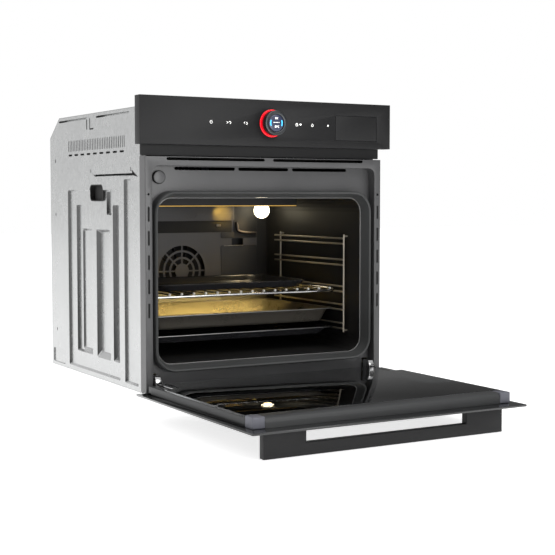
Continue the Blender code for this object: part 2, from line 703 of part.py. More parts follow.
def lamp_sensor_steam():
    dome = [(0, LAMP_BOTTOM)]
    centre = LAMP_BOTTOM + LAMP_RADIUS
    dome += [(LAMP_RADIUS * math.cos(math.radians(a)), centre + LAMP_RADIUS * math.sin(math.radians(a)))
             for a in range(-75, 1, 15)]
    top = CAVITY_TOP + 0.004
    wall = 0.002
    bore = LAMP_RADIUS - wall
    inner = [(bore, top), (bore, centre)]
    inner += [(bore * math.cos(math.radians(a)), centre + bore * math.sin(math.radians(a)))
              for a in range(-18, -90, -18)]
    inner.append((0, centre - bore))
    turned("lamp_glass", (dome + [(LAMP_RADIUS, top)] + inner)[::-1], (LAMP_X, LAMP_Y, 0), "XY", "lamp_glass",
           steps=20)
    base = top + GAP
    holder = [(0, base - 0.024), (0.006, base - 0.024), (0.006, base), (LAMP_RADIUS, base),
              (LAMP_RADIUS, base + 0.004), (0.012, base + 0.004), (0.012, base + 0.016), (0, base + 0.016)]
    turned("lamp_holder", holder[::-1], (LAMP_X, LAMP_Y, 0), "XY", "ceramic", steps=20)

    tube("temperature_sensor", [(SENSOR_X, 0.060, SENSOR_Z), (SENSOR_X, 0.200, SENSOR_Z)], 0.0028, "steel")
    out_y = BAFFLE_Y - 0.005
    tube("steam_pipe", [(STEAM_X, 0.205, STEAM_Z), (STEAM_X, out_y + 0.006, STEAM_Z), (STEAM_X, out_y + 0.001, 0.3305),
                        (STEAM_X + 0.001, out_y, 0.325), (0.150, out_y, 0.317), (0.156, out_y, 0.312),
                        (0.164, out_y, 0.3095), (0.176, out_y, 0.308), (0.199, out_y, 0.3065)],
         STEAM_RADIUS, "steel")
    boiler = box("steam_generator", (0.100, 0.206, 0.300), (0.190, 0.250, 0.372), "steel")
    bevel(boiler, 0.008, 3)


# ---- racks, shelf and trays ---------------------------------------------
def rack(side, sign):
    x = sign * RACK_X
    posts = [tube("post", [(x, y, RACK_BOTTOM), (x, y, RACK_TOP)], RACK_POST_RADIUS, group=cutting)
             for y in (RACK_FRONT_Y, RACK_REAR_Y)]
    rail_x = x - sign * (RACK_POST_RADIUS + RAIL_RADIUS - 0.0004)
    rails = []
    for level in LEVELS:
        for z in (level, level + LEVEL_GAP):
            rails.append(tube("rail", [(rail_x, RAIL_FRONT_Y, z), (rail_x, RAIL_REAR_Y, z)], RAIL_RADIUS,
                              group=cutting))
    wall = CAVITY_WIDTH / 2 - GAP
    studs = [tube("stud", [(x, y, z), (sign * wall, y, z)], 0.0018, group=cutting)
             for y in (RACK_FRONT_Y, RACK_REAR_Y) for z in (RACK_BOTTOM + 0.004, RACK_TOP - 0.004)]
    first = as_mesh(tube(f"rack_{side}", [(x, RACK_FRONT_Y, RACK_BOTTOM), (x, RACK_FRONT_Y, RACK_TOP)],
                         RACK_POST_RADIUS, "chrome"))
    bpy.data.objects.remove(posts[0], do_unlink=True)
    return join(first, [as_mesh(wire) for wire in [posts[1], *rails, *studs]])


def wire_shelf():
    seat = LEVELS[2] + RAIL_RADIUS + GAP
    z = seat + SHELF_WIRE
    half = TRAY_HALF - SHELF_WIRE
    loop = rounded((-half, TRAY_FRONT_Y), (half, TRAY_REAR_Y), 0.012, 3)
    shelf = as_mesh(tube("wire_shelf", [(x, y, z) for x, y in loop], SHELF_WIRE, "chrome", cyclic=True))
    rods = []
    rod_z = z + SHELF_WIRE - SHELF_ROD + 0.0006
    for i in range(SHELF_RODS):
        x = (i - (SHELF_RODS - 1) / 2) * SHELF_PITCH
        rods.append(as_mesh(tube("rod", [(x, TRAY_FRONT_Y, rod_z), (x, TRAY_REAR_Y, rod_z)], SHELF_ROD, sides=1,
                                 group=cutting)))
    join(shelf, rods)
    return rod_z + SHELF_ROD


def ring_at(half, front, rear, radius, z, steps=3):
    return [(x, y, z) for x, y in rounded((-half, front), (half, rear), radius, steps)]


def trays(shelf_top):
    depths = {"deep_tray": (LEVELS[1], 0.030, "tray_steel"), "shallow_pan": (LEVELS[0], 0.016, "dark_tray")}
    for name, (level, depth, colour) in depths.items():
        z = level + RAIL_RADIUS + GAP + TRAY_SHEET / 2
        lip, slope, f, r = 0.009, 0.012, TRAY_FRONT_Y, TRAY_REAR_Y
        open_pan(name, [
            ring_at(TRAY_HALF, f, r, 0.018, z),
            ring_at(TRAY_HALF - lip, f + lip, r - lip, 0.020, z),
            ring_at(TRAY_HALF - lip - slope, f + lip + slope, r - lip - slope, 0.024, z - depth),
        ], TRAY_SHEET, colour)
    z = shelf_top + GAP + TRAY_SHEET / 2
    f, r = BAKING_FRONT_Y, BAKING_REAR_Y
    open_pan("baking_tray", [
        ring_at(BAKING_HALF, f, r, 0.035, z + BAKING_HEIGHT),
        ring_at(BAKING_HALF - 0.006, f + 0.006, r - 0.006, 0.032, z + BAKING_HEIGHT),
        ring_at(BAKING_HALF - 0.016, f + 0.016, r - 0.016, 0.026, z),
    ], TRAY_SHEET, "dark_tray")


# ---- casing -------------------------------------------------------------
def casing_side(side, sign):
    outer = sign * CASING_WIDTH / 2
    inner = outer - sign * PANEL_SHEET
    front, back = RETURN_END_Y + GAP, CASING_BACK_Y - PANEL_SHEET - GAP
    base, top = PANEL_SHEET + GAP, CASING_TOP - PANEL_SHEET - GAP
    drop = PANEL_SHEET + GAP
    outline = [(front, base), (back, base), (back, CHAMFER_BOTTOM_Z - drop), (CHAMFER_TOP_Y - drop / 2, top),
               (front, top)]
    across = (min(outer, inner), max(outer, inner))
    panel = slab(f"casing_{side}", [outline], across, "YZ", "galvanised")
    hand = rounded((GRIP_Y[0], GRIP_Z[0]), (GRIP_Y[1], GRIP_Z[1]), 0.011, 3)
    hand_out = rounded((GRIP_Y[0] - PANEL_SHEET, GRIP_Z[0] - PANEL_SHEET),
                       (GRIP_Y[1] + PANEL_SHEET, GRIP_Z[1] + PANEL_SHEET), 0.0118, 3)
    deep = outer - sign * GRIP_DEPTH
    cup = slab("cup", [hand_out], (min(outer - sign * 0.0002, deep), max(outer - sign * 0.0002, deep)), "YZ",
               group=cutting)
    join(panel, [cup])
    pocket_end = deep + sign * PANEL_SHEET
    past = outer + sign * 0.01
    cutters = [slab("pocket", [hand], (min(pocket_end, past), max(pocket_end, past)), "YZ", group=cutting)]
    through = (across[0] - 0.003, across[1] + 0.003)
    for i in range(DASH_COUNT):
        y = DASH_FIRST_Y + i * DASH_PITCH
        w, h = DASH_SIZE[0] / 2, DASH_SIZE[1] / 2
        cutters.append(slot((y - w, DASH_Z - h), (y + w, DASH_Z + h), through, "YZ", 0.0006))
    for start, end in LONG_SLOTS:
        cutters.append(slot((start, LONG_SLOT_Z - 0.002), (end, LONG_SLOT_Z + 0.002), through, "YZ", 0.0006))
    return cut(panel, cutters)


def casing():
    both_sides(casing_side)
    t = PANEL_SHEET
    half = CASING_WIDTH / 2
    front = RETURN_END_Y + GAP
    top = [(front, CASING_TOP - t), (CHAMFER_TOP_Y - t * 0.3, CASING_TOP - t),
           (CASING_BACK_Y - t, CHAMFER_BOTTOM_Z - t * 0.2), (CASING_BACK_Y, CHAMFER_BOTTOM_Z + t * 0.5),
           (CHAMFER_TOP_Y, CASING_TOP), (front, CASING_TOP)]
    sheet("casing_top", [top], (-half, half), "YZ", "galvanised")
    back_top = CHAMFER_BOTTOM_Z - t * 0.2 - GAP
    loops = [rounded((-half, t + GAP), (half, back_top), 0)]
    for row in range(4):
        for column in range(6):
            x = -0.075 + column * 0.030
            z = 0.170 + row * 0.026
            loops.append(rounded((x - 0.011, z - 0.0025), (x + 0.011, z + 0.0025), 0.0024, 2))
    sheet("casing_back", loops, (CASING_BACK_Y - t, CASING_BACK_Y), "XZ", "galvanised")
    sheet("casing_base", [rounded((-half, front), (half, CASING_BACK_Y), 0)], (0, t), "XY", "galvanised")

    slope = math.atan2(CASING_TOP - CHAMFER_BOTTOM_Z, CASING_BACK_Y - CHAMFER_TOP_Y)
    size = (0.060, 0.036, 0.009)
    block = box("terminal_block", [-value / 2 for value in size], [value / 2 for value in size], "black_plastic")
    middle = Vector((0.175, (CHAMFER_TOP_Y + CASING_BACK_Y) / 2, (CASING_TOP + CHAMFER_BOTTOM_Z) / 2))
    normal = Vector((0, math.sin(slope), math.cos(slope)))
    block.matrix_local = (Matrix.Translation(middle + normal * (size[2] / 2 + GAP * 2))
                          @ Matrix.Rotation(-slope, 4, "X"))


# ---- cooling air and power electronics ----------------------------------
def cooling():
    low, high = DUCT_Z
    front = RETURN_END_Y + GAP + 0.001
    w0, w1, rear = DUCT_FRONT_HALF, DUCT_REAR_HALF, DUCT_REAR_Y
    bend = front + 0.120
    plan = [(-w0, front), (w0, front), (w0, bend), (w1, rear), (-w1, rear), (-w1 - (w0 - w1), bend)]
    duct = slab("air_duct", [plan], (low, high), "XY", "galvanised")
    t = SHEET
    inside = [(-w0 + t, front - 0.01), (w0 - t, front - 0.01), (w0 - t, bend - 0.0006), (w1 - t, rear - 0.0006),
              (w1 - t, rear + 0.01), (-w1 + t, rear + 0.01), (-w1 + t, rear - 0.0006), (-w0 + t, bend - 0.0006)]
    cut(duct, [slab("flow", [inside], (low + t, high - t), "XY", group=cutting)])

    start = rear + 0.001
    housing = slab("blower_housing", [rounded((-w1, start), (w1, BLOWER_REAR_Y), 0.012, 3)], (low, high), "XY",
                   "galvanised")
    cut(housing, [
        slab("scroll", [rounded((-w1 + t, start - 0.02), (w1 - t, BLOWER_REAR_Y - t), 0.011, 3)],
             (low + t, high - t), "XY", group=cutting),
        hole((0, BLOWER_Y), 0.042, (high - 0.005, high + 0.005), "XY", 28),
    ])
    disc_z = low + 0.006
    wheel = slab("blower_wheel", [circle((0, BLOWER_Y), WHEEL_RADIUS, 32)], (disc_z, disc_z + 0.0012), "XY",
                 "grey_plastic")
    parts = [slab("shaft", [circle((0, BLOWER_Y), 0.003, 12)], (disc_z + 0.0005, high + 0.020), "XY",
                  group=cutting)]
    for i in range(WHEEL_BLADES):
        vane = box("vane", (0.048, -0.0006, disc_z + 0.0006), (WHEEL_RADIUS - 0.001, 0.0006, high - 0.006),
                   group=cutting)
        turn = Matrix.Rotation(math.radians(i * 360 / WHEEL_BLADES), 4, "Z")
        vane.matrix_world = Matrix.Translation((0, BLOWER_Y, 0)) @ turn @ Matrix.Translation(vane.location)
        parts.append(vane)
    join(wheel, parts)
    sheet("blower_motor", [circle((0, BLOWER_Y), 0.030, 28), circle((0, BLOWER_Y), 0.0034, 12)],
          (high + 0.008, high + 0.044), "XY", "steel")
    board = rounded((-0.240, -0.120), (-0.110, 0.080), 0.003, 2)
    sheet("power_board", [board], (high + 0.012, high + 0.0136), "XY", "board")


# ---- door ---------------------------------------------------------------
def door(hinge):
    """Pieces are given closed, from the hinge axis, and the hinge empty opens them."""
    def at(y, z):
        return y - HINGE_Y, z - HINGE_Z

    def plate(name, loops, y0, y1, colour):
        moved = [[(x, z - HINGE_Z) for x, z in loop] for loop in loops]
        return sheet(name, moved, (y0 - HINGE_Y, y1 - HINGE_Y), "XZ", colour, hinge)

    half = FRONT_WIDTH / 2
    glass_back = DOOR_FACE_Y + OUTER_GLASS
    inner_front = PACK_BACK_Y - INNER_GLASS
    plate("door_outer_glass", [rounded((-half, DOOR_BOTTOM), (half, DOOR_TOP), 0.0015, 2)], DOOR_FACE_Y, glass_back,
          "glass")
    cap_bottom = PACK_TOP - CAP_LENGTH
    glass_top = cap_bottom - GAP
    notch_x, notch_z = HINGE_X - ARM_WIDTH / 2 - 0.004, LATCH_Z + LATCH_LENGTH + 0.003
    pane = [(-PACK_HALF, notch_z), (-notch_x, notch_z), (-notch_x, PACK_BOTTOM), (notch_x, PACK_BOTTOM),
            (notch_x, notch_z), (PACK_HALF, notch_z), (PACK_HALF, glass_top), (-PACK_HALF, glass_top)]
    plate("door_inner_glass", [pane], inner_front, PACK_BACK_Y, "glass")

    rail_front, rail_back = glass_back + GAP, inner_front - GAP
    rail_inner = PACK_HALF - RAIL_WIDTH
    middle_y = (rail_front + rail_back) / 2
    edge, clear = rail_inner - GAP, HINGE_X - ARM_WIDTH / 2 - CHEEK_GAP - CHEEK_THICK - 0.002
    shoulder, top = HINGE_CASE_TOP + 0.006, cap_bottom - 0.004
    middle = [(-clear, 0.050), (clear, 0.050), (clear, shoulder), (edge, shoulder), (edge, top), (-edge, top),
              (-edge, shoulder), (-clear, shoulder)]
    plate("door_middle_glass", [middle], middle_y - MIDDLE_GLASS / 2, middle_y + MIDDLE_GLASS / 2, "glass")

    def rail(side, sign):
        foot = PACK_HALF - 0.005
        section = [(rail_inner, rail_front), (foot, rail_front), (foot, rail_front + RAIL_FOOT),
                   (PACK_HALF, rail_front + RAIL_FOOT), (PACK_HALF, rail_back), (rail_inner, rail_back)]
        moved = [(sign * x, at(y, 0)[0]) for x, y in section]
        return sheet(f"door_rail_{side}", [moved], (PACK_BOTTOM - HINGE_Z, cap_bottom - GAP - HINGE_Z), "XY",
                     "black_plastic", hinge)
    both_sides(rail)

    def cap(side, sign):
        edges = sorted((sign * PACK_HALF, sign * (PACK_HALF - CAP_WIDTH)))
        made = box(f"door_cap_{side}", (edges[0], *at(rail_front, cap_bottom)), (edges[1], *at(PACK_BACK_Y, PACK_TOP)),
                   "grey_plastic", hinge)
        return bevel(made, 0.0012)
    both_sides(cap)

    reach = PACK_HALF - CAP_WIDTH - GAP
    low, high = at(rail_front, cap_bottom + 0.001), at(PACK_BACK_Y, PACK_TOP - 0.0005)
    crown = 0.011
    profile = [low, (high[0], low[1])] + arc((high[0] - crown, high[1] - crown), crown, 0, 90, 5) + [(low[0], high[1])]
    sheet("door_top_trim", [profile], (-reach, reach), "YZ", "black_plastic", hinge)

    lower = [at(rail_front, 0.028), at(rail_back, 0.028), at(rail_back, 0.046), at(rail_front, 0.046)]
    sheet("door_bottom_profile", [lower], (-notch_x + 0.002, notch_x - 0.002), "YZ", "black_plastic", hinge)

    handle_y = DOOR_FACE_Y - GAP - HINGE_Y
    tip = DOOR_FACE_Y - HANDLE_REACH - HINGE_Y
    bar = tip + HANDLE_BAR
    grip = [(-HANDLE_HALF, tip), (HANDLE_HALF, tip), (HANDLE_HALF, handle_y), (HANDLE_SLOT_HALF, handle_y),
            (HANDLE_SLOT_HALF, bar), (-HANDLE_SLOT_HALF, bar), (-HANDLE_SLOT_HALF, handle_y),
            (-HANDLE_HALF, handle_y)]
    sheet("door_handle", [grip], (HANDLE_TOP_Z - HANDLE_THICK - HINGE_Z, HANDLE_TOP_Z - HINGE_Z), "XY", "fascia", hinge)


def hinge_parts(hinge):
    def arm(side, sign):
        hook = [(-0.236, 0.016), (-0.236, 0.033), (-0.262, 0.0352), (-0.2755, 0.0365), (-0.2805, 0.0345)]
        hook += arc((HINGE_Y, HINGE_Z), ARM_END_RADIUS, 150, 285, 8)
        hook += [(-0.262, 0.0155)]
        middle = sign * HINGE_X
        return sheet(f"hinge_arm_{side}", [hook[::-1]], (middle - ARM_WIDTH / 2, middle + ARM_WIDTH / 2), "YZ", "chrome")
    both_sides(arm)

    def case(side, sign):
        """Two cheeks beside the arm's round end, joined by a web."""
        front, back = DOOR_FACE_Y + OUTER_GLASS + GAP - HINGE_Y, PACK_BACK_Y - INNER_GLASS - GAP - HINGE_Y
        top = HINGE_CASE_TOP - HINGE_Z
        cheek = [(front, 0.010), *arc((0, 0), ARM_END_RADIUS - 0.0006, 215, 395, 8), (back, 0.012), (back, top),
                 (front, top)]
        middle = sign * HINGE_X
        inside = ARM_WIDTH / 2 + CHEEK_GAP
        body = slab(f"hinge_case_{side}", [cheek],
                    (middle - inside - CHEEK_THICK, middle + inside + CHEEK_THICK), "YZ", "steel", hinge)
        past = ARM_END_RADIUS + 0.004
        web = front + CHEEK_THICK
        room = [(web, past), (front - 0.01, past), (front - 0.01, -0.020), (0.020, -0.020), (0.020, top + 0.01),
                (web, top + 0.01)]
        return cut(body, [slab("arm_room", [room], (middle - inside, middle + inside), "YZ", None, hinge, cutting)])
    both_sides(case)

    def latch(side, sign):
        x = sign * HINGE_X
        back = PACK_BACK_Y - 0.0004 - HINGE_Y
        bottom = LATCH_Z - HINGE_Z
        r = LATCH_THICK / 2
        outline = arc((back - r, bottom), r, 180, 360, 6) + [(back, bottom + LATCH_LENGTH),
                                                            (back - LATCH_THICK, bottom + LATCH_LENGTH)]
        return sheet(f"hinge_latch_{side}", [outline], (x - LATCH_WIDTH / 2, x + LATCH_WIDTH / 2), "YZ", "chrome", hinge)
    both_sides(latch)


# ---- assembly -----------------------------------------------------------
control_panel()
water_drawer()
front_frame()
door_seal()
probe_socket()
cavity()
heaters_and_fan()
lamp_sensor_steam()
both_sides(rack)
trays(wire_shelf())
casing()
cooling()

door_axis = bpy.data.objects.new("door_axis", None)
oven.objects.link(door_axis)
door_axis.location = (0, HINGE_Y, HINGE_Z)
door_axis.rotation_euler = (DOOR_OPEN, 0, 0)
door(door_axis)
hinge_parts(door_axis)
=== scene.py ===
import json
import math

import bmesh
import bpy
from mathutils import Matrix, Vector

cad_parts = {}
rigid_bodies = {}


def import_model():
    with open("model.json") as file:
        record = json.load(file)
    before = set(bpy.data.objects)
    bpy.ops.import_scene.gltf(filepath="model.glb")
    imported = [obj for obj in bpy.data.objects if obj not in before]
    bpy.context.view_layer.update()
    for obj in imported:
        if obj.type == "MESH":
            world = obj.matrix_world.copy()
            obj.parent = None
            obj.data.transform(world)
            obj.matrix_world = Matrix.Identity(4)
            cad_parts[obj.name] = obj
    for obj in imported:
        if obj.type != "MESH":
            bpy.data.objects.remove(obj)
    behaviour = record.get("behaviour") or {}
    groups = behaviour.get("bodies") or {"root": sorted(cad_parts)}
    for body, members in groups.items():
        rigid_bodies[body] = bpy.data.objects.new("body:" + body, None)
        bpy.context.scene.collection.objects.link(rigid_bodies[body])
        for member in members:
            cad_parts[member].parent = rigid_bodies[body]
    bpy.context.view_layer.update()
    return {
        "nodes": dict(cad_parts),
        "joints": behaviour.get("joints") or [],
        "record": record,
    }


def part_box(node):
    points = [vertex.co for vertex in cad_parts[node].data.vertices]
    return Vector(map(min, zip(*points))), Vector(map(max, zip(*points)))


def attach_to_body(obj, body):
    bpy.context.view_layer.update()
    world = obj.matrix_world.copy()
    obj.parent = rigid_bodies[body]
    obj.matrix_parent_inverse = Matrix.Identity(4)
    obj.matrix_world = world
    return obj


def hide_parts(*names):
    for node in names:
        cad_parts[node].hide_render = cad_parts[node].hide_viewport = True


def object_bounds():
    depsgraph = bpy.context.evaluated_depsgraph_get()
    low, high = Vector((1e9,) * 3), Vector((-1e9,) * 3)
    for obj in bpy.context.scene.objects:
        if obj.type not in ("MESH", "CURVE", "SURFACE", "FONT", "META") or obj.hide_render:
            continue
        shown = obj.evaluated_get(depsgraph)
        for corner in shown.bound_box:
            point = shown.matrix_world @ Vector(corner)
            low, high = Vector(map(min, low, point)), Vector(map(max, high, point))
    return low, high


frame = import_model()
nodes = frame["nodes"]
bodyOf = {node: body for body, group in frame["record"]["behaviour"]["bodies"].items() for node in group}
joints = {joint["name"]: joint for joint in frame["joints"]}
mm = 0.001
print("frame loaded:", len(nodes), "nodes")


# materials: hex colours are sRGB, and pattern sizes are in millimetres
def linear(code):
    parts = [int(code[i:i + 2], 16) / 255 for i in (1, 3, 5)]
    return tuple(c / 12.92 if c <= 0.04045 else ((c + 0.055) / 1.055) ** 2.4 for c in parts) + (1.0,)


def addNode(tree, kind, settings, inputs):
    node = tree.nodes.new(kind)
    for name, value in settings.items():
        setattr(node, name, value)
    for name, value in inputs.items():
        if isinstance(value, bpy.types.NodeSocket):
            tree.links.new(value, node.inputs[name])
        else:
            node.inputs[name].default_value = value
    return node


# each finish: two colours, size of the grain or spangle, range of roughness, depth of the relief
finishes = {
    # baked satin lacquer on glass and aluminium: fine orange peel, faint cloudiness
    "satinLacquer": dict(colours=("#161617", "#1a1a1b"), grain=1.2, rough=(0.42, 0.5), bump=0.01,
                         specular=0.3),
    # grey vitreous enamel on pressed steel: fine speckle and a soft shine
    "greyEnamel": dict(colours=("#4a4a4b", "#545455"), grain=0.9, rough=(0.3, 0.42), bump=0.015, coat=0.2),
    # dark ground-coat enamel: glossy, with pale flecks
    "groundCoatEnamel": dict(colours=("#1c1b1b", "#262524"), grain=1.5, rough=(0.48, 0.62), bump=0.02),
    # the same enamel, painted a tone lighter on the plates of the rear wall for the light that falls on them
    "rearEnamelPaintedLight": dict(colours=("#454446", "#4e4d4f"), grain=1.5, rough=(0.34, 0.5), bump=0.02, coat=0.08),
    # hot-dip galvanised sheet: faint spangle, cloudy shine, and painted shade that darkens the groove walls
    # facing forward
    "galvanisedSheet": dict(colours=("#bfc0c0", "#c6c7c7"), cells=9, rough=(0.24, 0.28), bump=0.0006,
                            metallic=0.85, dullAndPaintedShade=0.2),
    # stamped stainless steel, rolled along one way
    "rolledSteel": dict(colours=("#8a8a8a", "#a3a2a0"), grain=1.2, rough=(0.24, 0.38), bump=0.006, metallic=1,
                        stretch=(0.05, 1, 1)),
    # bright nickel-chrome plating on drawn wire and hinge parts: sharp highlights
    "chromePlate": dict(colours=("#c9c9ca", "#d8d8d8"), grain=3.0, rough=(0.08, 0.16), bump=0.002,
                        metallic=1),
    # rack wire, a dull warm silver, and the ends of the shelf rods, painted near white as a painted glint
    "rackWire": dict(colours=("#b9b0a0", "#c6bdae"), grain=2.0, rough=(0.28, 0.36), bump=0.002, metallic=0.6),
    "paintedGlintEnds": dict(colours=("#e4e4e4", "#f0f0f0"), grain=1.0, rough=(0.3, 0.4), bump=0.002, metallic=0.4),
    # tray enamel: warm grey with a metallic shine, and near black with a gloss
    "trayEnamel": dict(colours=("#7d786f", "#837e75"), grain=1.0, rough=(0.26, 0.3), bump=0.006,
                       metallic=0.75),
    "darkTrayEnamel": dict(colours=("#28282a", "#333336"), grain=1.0, rough=(0.18, 0.3), bump=0.015,
                           coat=0.3),
    # heater sheath, blued by heat
    "heaterSheath": dict(colours=("#4b4542", "#5f5a57"), grain=5.0, rough=(0.35, 0.5), bump=0.01,
                         metallic=0.9),
    # float glass with black enamel fired on its back
    "printedGlass": dict(colours=("#18191a", "#1b1c1d"), grain=40, rough=(0.03, 0.07), bump=0.001, coat=0.5),
    # moulded glass-filled nylon, black and violet-grey: fine spark-eroded grain
    "blackMoulding": dict(colours=("#2f3031", "#353637"), grain=0.5, rough=(0.42, 0.52), bump=0.02),
    "violetGreyMoulding": dict(colours=("#60616a", "#6a6b74"), grain=0.5, rough=(0.4, 0.52), bump=0.02),
    # turned and anodised aluminium: dark grey, soft shine
    "knobAluminium": dict(colours=("#3f4143", "#4a4c4e"), grain=0.4, rough=(0.28, 0.36), bump=0.003,
                          metallic=0.7),
    # extruded silicone: matt dark grey
    "siliconeRubber": dict(colours=("#464747", "#4f5050"), grain=2.0, rough=(0.5, 0.65), bump=0.02),
    # phosphated sheet and dark felt: close to black, no shine; also used as painted shade on parts that only
    # sit in shadow
    "darkSheetAndPaintedShade": dict(colours=("#0b0b0b", "#121212"), grain=2.0, rough=(0.6, 0.8), bump=0.01),
    # pressed mineral wool: straw-coloured, rough
    "mineralWool": dict(colours=("#b9ae86", "#d4cba8"), grain=3.0, rough=(0.9, 1.0), bump=0.5),
    # fired steatite, ivory and dull
    "steatite": dict(colours=("#d8d3c8", "#e2ddd3"), grain=0.8, rough=(0.5, 0.6), bump=0.01),
    # glass-epoxy board with green solder mask
    "circuitBoard": dict(colours=("#1d4a33", "#225a3e"), grain=6.0, rough=(0.35, 0.5), bump=0.01),
    # blow-moulded polycarbonate: smoky and half clear
    "smokedPolycarbonate": dict(colours=("#8f979b", "#9aa1a5"), grain=20, rough=(0.1, 0.16), bump=0.001,
                                transmission=0.6),
}
materials = {}


def makeFinish(name, look):
    made = bpy.data.materials.new(name)
    made.use_nodes = True
    tree = made.node_tree
    shader = tree.nodes["Principled BSDF"]
    place = addNode(tree, "ShaderNodeTexCoord", {}, {})
    put = addNode(tree, "ShaderNodeMapping", {}, {"Vector": place.outputs["Object"],
                                                 "Scale": look.get("stretch", (1, 1, 1))})
    if "cells" in look:
        grain = addNode(tree, "ShaderNodeTexVoronoi", {},
                        {"Vector": put.outputs[0], "Scale": 1 / (look["cells"] * mm)})
        split = addNode(tree, "ShaderNodeSeparateColor", {}, {"Color": grain.outputs["Color"]})
        amount = split.outputs[0]
    else:
        grain = addNode(tree, "ShaderNodeTexNoise", {},
                        {"Vector": put.outputs[0], "Scale": 1 / (look["grain"] * mm), "Detail": 3.0,
                         "Roughness": 0.6})
        amount = grain.outputs[0]
    cloud = addNode(tree, "ShaderNodeTexNoise", {},
                    {"Vector": place.outputs["Object"], "Scale": 14.0, "Detail": 4.0})
    low, high = [linear(code) for code in look["colours"]]
    both = addNode(tree, "ShaderNodeMath", {"operation": "MULTIPLY_ADD"}, {0: amount, 1: 0.6})
    tree.links.new(cloud.outputs[0], both.inputs[2])
    tint = addNode(tree, "ShaderNodeMapRange", {},
                   {"Value": both.outputs[0], "From Min": 0.45, "From Max": 1.15})
    mix = addNode(tree, "ShaderNodeMix", {"data_type": "RGBA"}, {"Factor": tint.outputs[0]})
    mix.inputs[6].default_value, mix.inputs[7].default_value = low, high
    tree.links.new(mix.outputs[2], shader.inputs["Base Color"])
    if "dullAndPaintedShade" in look:
        # painted shade: the groove walls that face forward are darkened in the colour, down to the given
        # share
        facing = addNode(tree, "ShaderNodeNewGeometry", {}, {})
        axes = addNode(tree, "ShaderNodeSeparateXYZ", {}, {"Vector": facing.outputs["Normal"]})
        paintedShadeShare = addNode(tree, "ShaderNodeMapRange", {},
                       {"Value": axes.outputs["Y"], "From Min": -0.6, "From Max": -0.3,
                        "To Min": look["dullAndPaintedShade"], "To Max": 1.0})
        scaled = addNode(tree, "ShaderNodeVectorMath", {"operation": "SCALE"},
                         {0: mix.outputs[2], "Scale": paintedShadeShare.outputs[0]})
        tree.links.new(scaled.outputs[0], shader.inputs["Base Color"])
    dullAndPaintedShade = addNode(tree, "ShaderNodeMapRange", {},
                   {"Value": both.outputs[0], "From Min": 0.4, "From Max": 1.2,
                    "To Min": look["rough"][0], "To Max": look["rough"][1]})
    tree.links.new(dullAndPaintedShade.outputs[0], shader.inputs["Roughness"])
    relief = addNode(tree, "ShaderNodeBump", {},
                     {"Height": amount, "Strength": 1.0, "Distance": look["bump"] * mm})
    tree.links.new(relief.outputs[0], shader.inputs["Normal"])
    shader.inputs["Metallic"].default_value = look.get("metallic", 0.0)
    shader.inputs["Coat Weight"].default_value = look.get("coat", 0.0)
    shader.inputs["Specular IOR Level"].default_value = look.get("specular", 0.5)
    shader.inputs["Coat Roughness"].default_value = 0.12
    shader.inputs["Transmission Weight"].default_value = look.get("transmission", 0.0)
    return made


for finishName, finishLook in finishes.items():
    materials[finishName] = makeFinish(finishName, finishLook)


def makeGlow(name, colour, strength, edge):
    # a lit mark or lens, whose colour comes from behind a clear face, or an edge with a painted glow; the
    # colour varies a little
    made = bpy.data.materials.new(name)
    made.use_nodes = True
    tree = made.node_tree
    shader = tree.nodes["Principled BSDF"]
    place = addNode(tree, "ShaderNodeTexCoord", {}, {})
    cloud = addNode(tree, "ShaderNodeTexNoise", {}, {"Vector": place.outputs["Object"], "Scale": 90.0})
    mix = addNode(tree, "ShaderNodeMix", {"data_type": "RGBA"}, {})
    share = addNode(tree, "ShaderNodeMapRange", {},
                    {"Value": cloud.outputs[0], "From Min": 0.2, "From Max": 0.8,
                     "To Min": 0.0, "To Max": 0.25})
    tree.links.new(share.outputs[0], mix.inputs["Factor"])
    mix.inputs[6].default_value = linear(colour)
    mix.inputs[7].default_value = linear(edge)
    tree.links.new(mix.outputs[2], shader.inputs["Base Color"])
    tree.links.new(mix.outputs[2], shader.inputs["Emission Color"])
    shader.inputs["Emission Strength"].default_value = strength
    shader.inputs["Roughness"].default_value = 0.25
    return made


def makeClear(name, colour, roughness):
    # tinted float glass: greenish-grey body, fine smears that dull it here and there
    made = bpy.data.materials.new(name)
    made.use_nodes = True
    tree = made.node_tree
    shader = tree.nodes["Principled BSDF"]
    place = addNode(tree, "ShaderNodeTexCoord", {}, {})
    smear = addNode(tree, "ShaderNodeTexNoise", {},
                    {"Vector": place.outputs["Object"], "Scale": 9.0, "Detail": 5.0})
    dullAndPaintedShade = addNode(tree, "ShaderNodeMapRange", {},
                   {"Value": smear.outputs[0], "From Min": 0.3, "From Max": 0.7,
                    "To Min": roughness, "To Max": roughness + 0.03})
    tree.links.new(dullAndPaintedShade.outputs[0], shader.inputs["Roughness"])
    shader.inputs["Base Color"].default_value = linear(colour)
    shader.inputs["Transmission Weight"].default_value = 1.0
    shader.inputs["IOR"].default_value = 1.5
    return made


glows = {
    # red acrylic over a ring of diodes
    "redRingLight": ("#e8061c", 1.1, "#c00818"),
    # white and cyan windows in the black print, lit from behind
    "whiteMark": ("#f0f0ee", 0.9, "#f0f0ee"),
    "cyanMark": ("#58c8f0", 1.1, "#58c8f0"),
    # liquid crystal field behind its lens, dark blue-grey
    "displayField": ("#343a52", 0.35, "#2a2e40"),
    # painted highlight: the rolled enamel edge right below the lamp glows as a thin gold line
    "paintedGlowEdge": ("#c9a050", 0.8, "#c9a050"),
    # warm lamp behind a clear glass dome
    "lampGlow": ("#fff1cc", 6.0, "#fff8e4"),
}
for glowName, (colour, strength, edge) in glows.items():
    materials[glowName] = makeGlow(glowName, colour, strength, edge)
# low-emissivity float glass, faintly grey
materials["tintedPane"] = makeClear("tintedPane", "#9aa0a2", 0.012)
print("finishes ready:", len(materials))


# shaping tools
def attach(name, data, body, instead):
    piece = bpy.data.objects.new(name, data)
    bpy.context.scene.collection.objects.link(piece)
    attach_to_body(piece, body)
    if instead:
        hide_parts(*instead)
    return piece


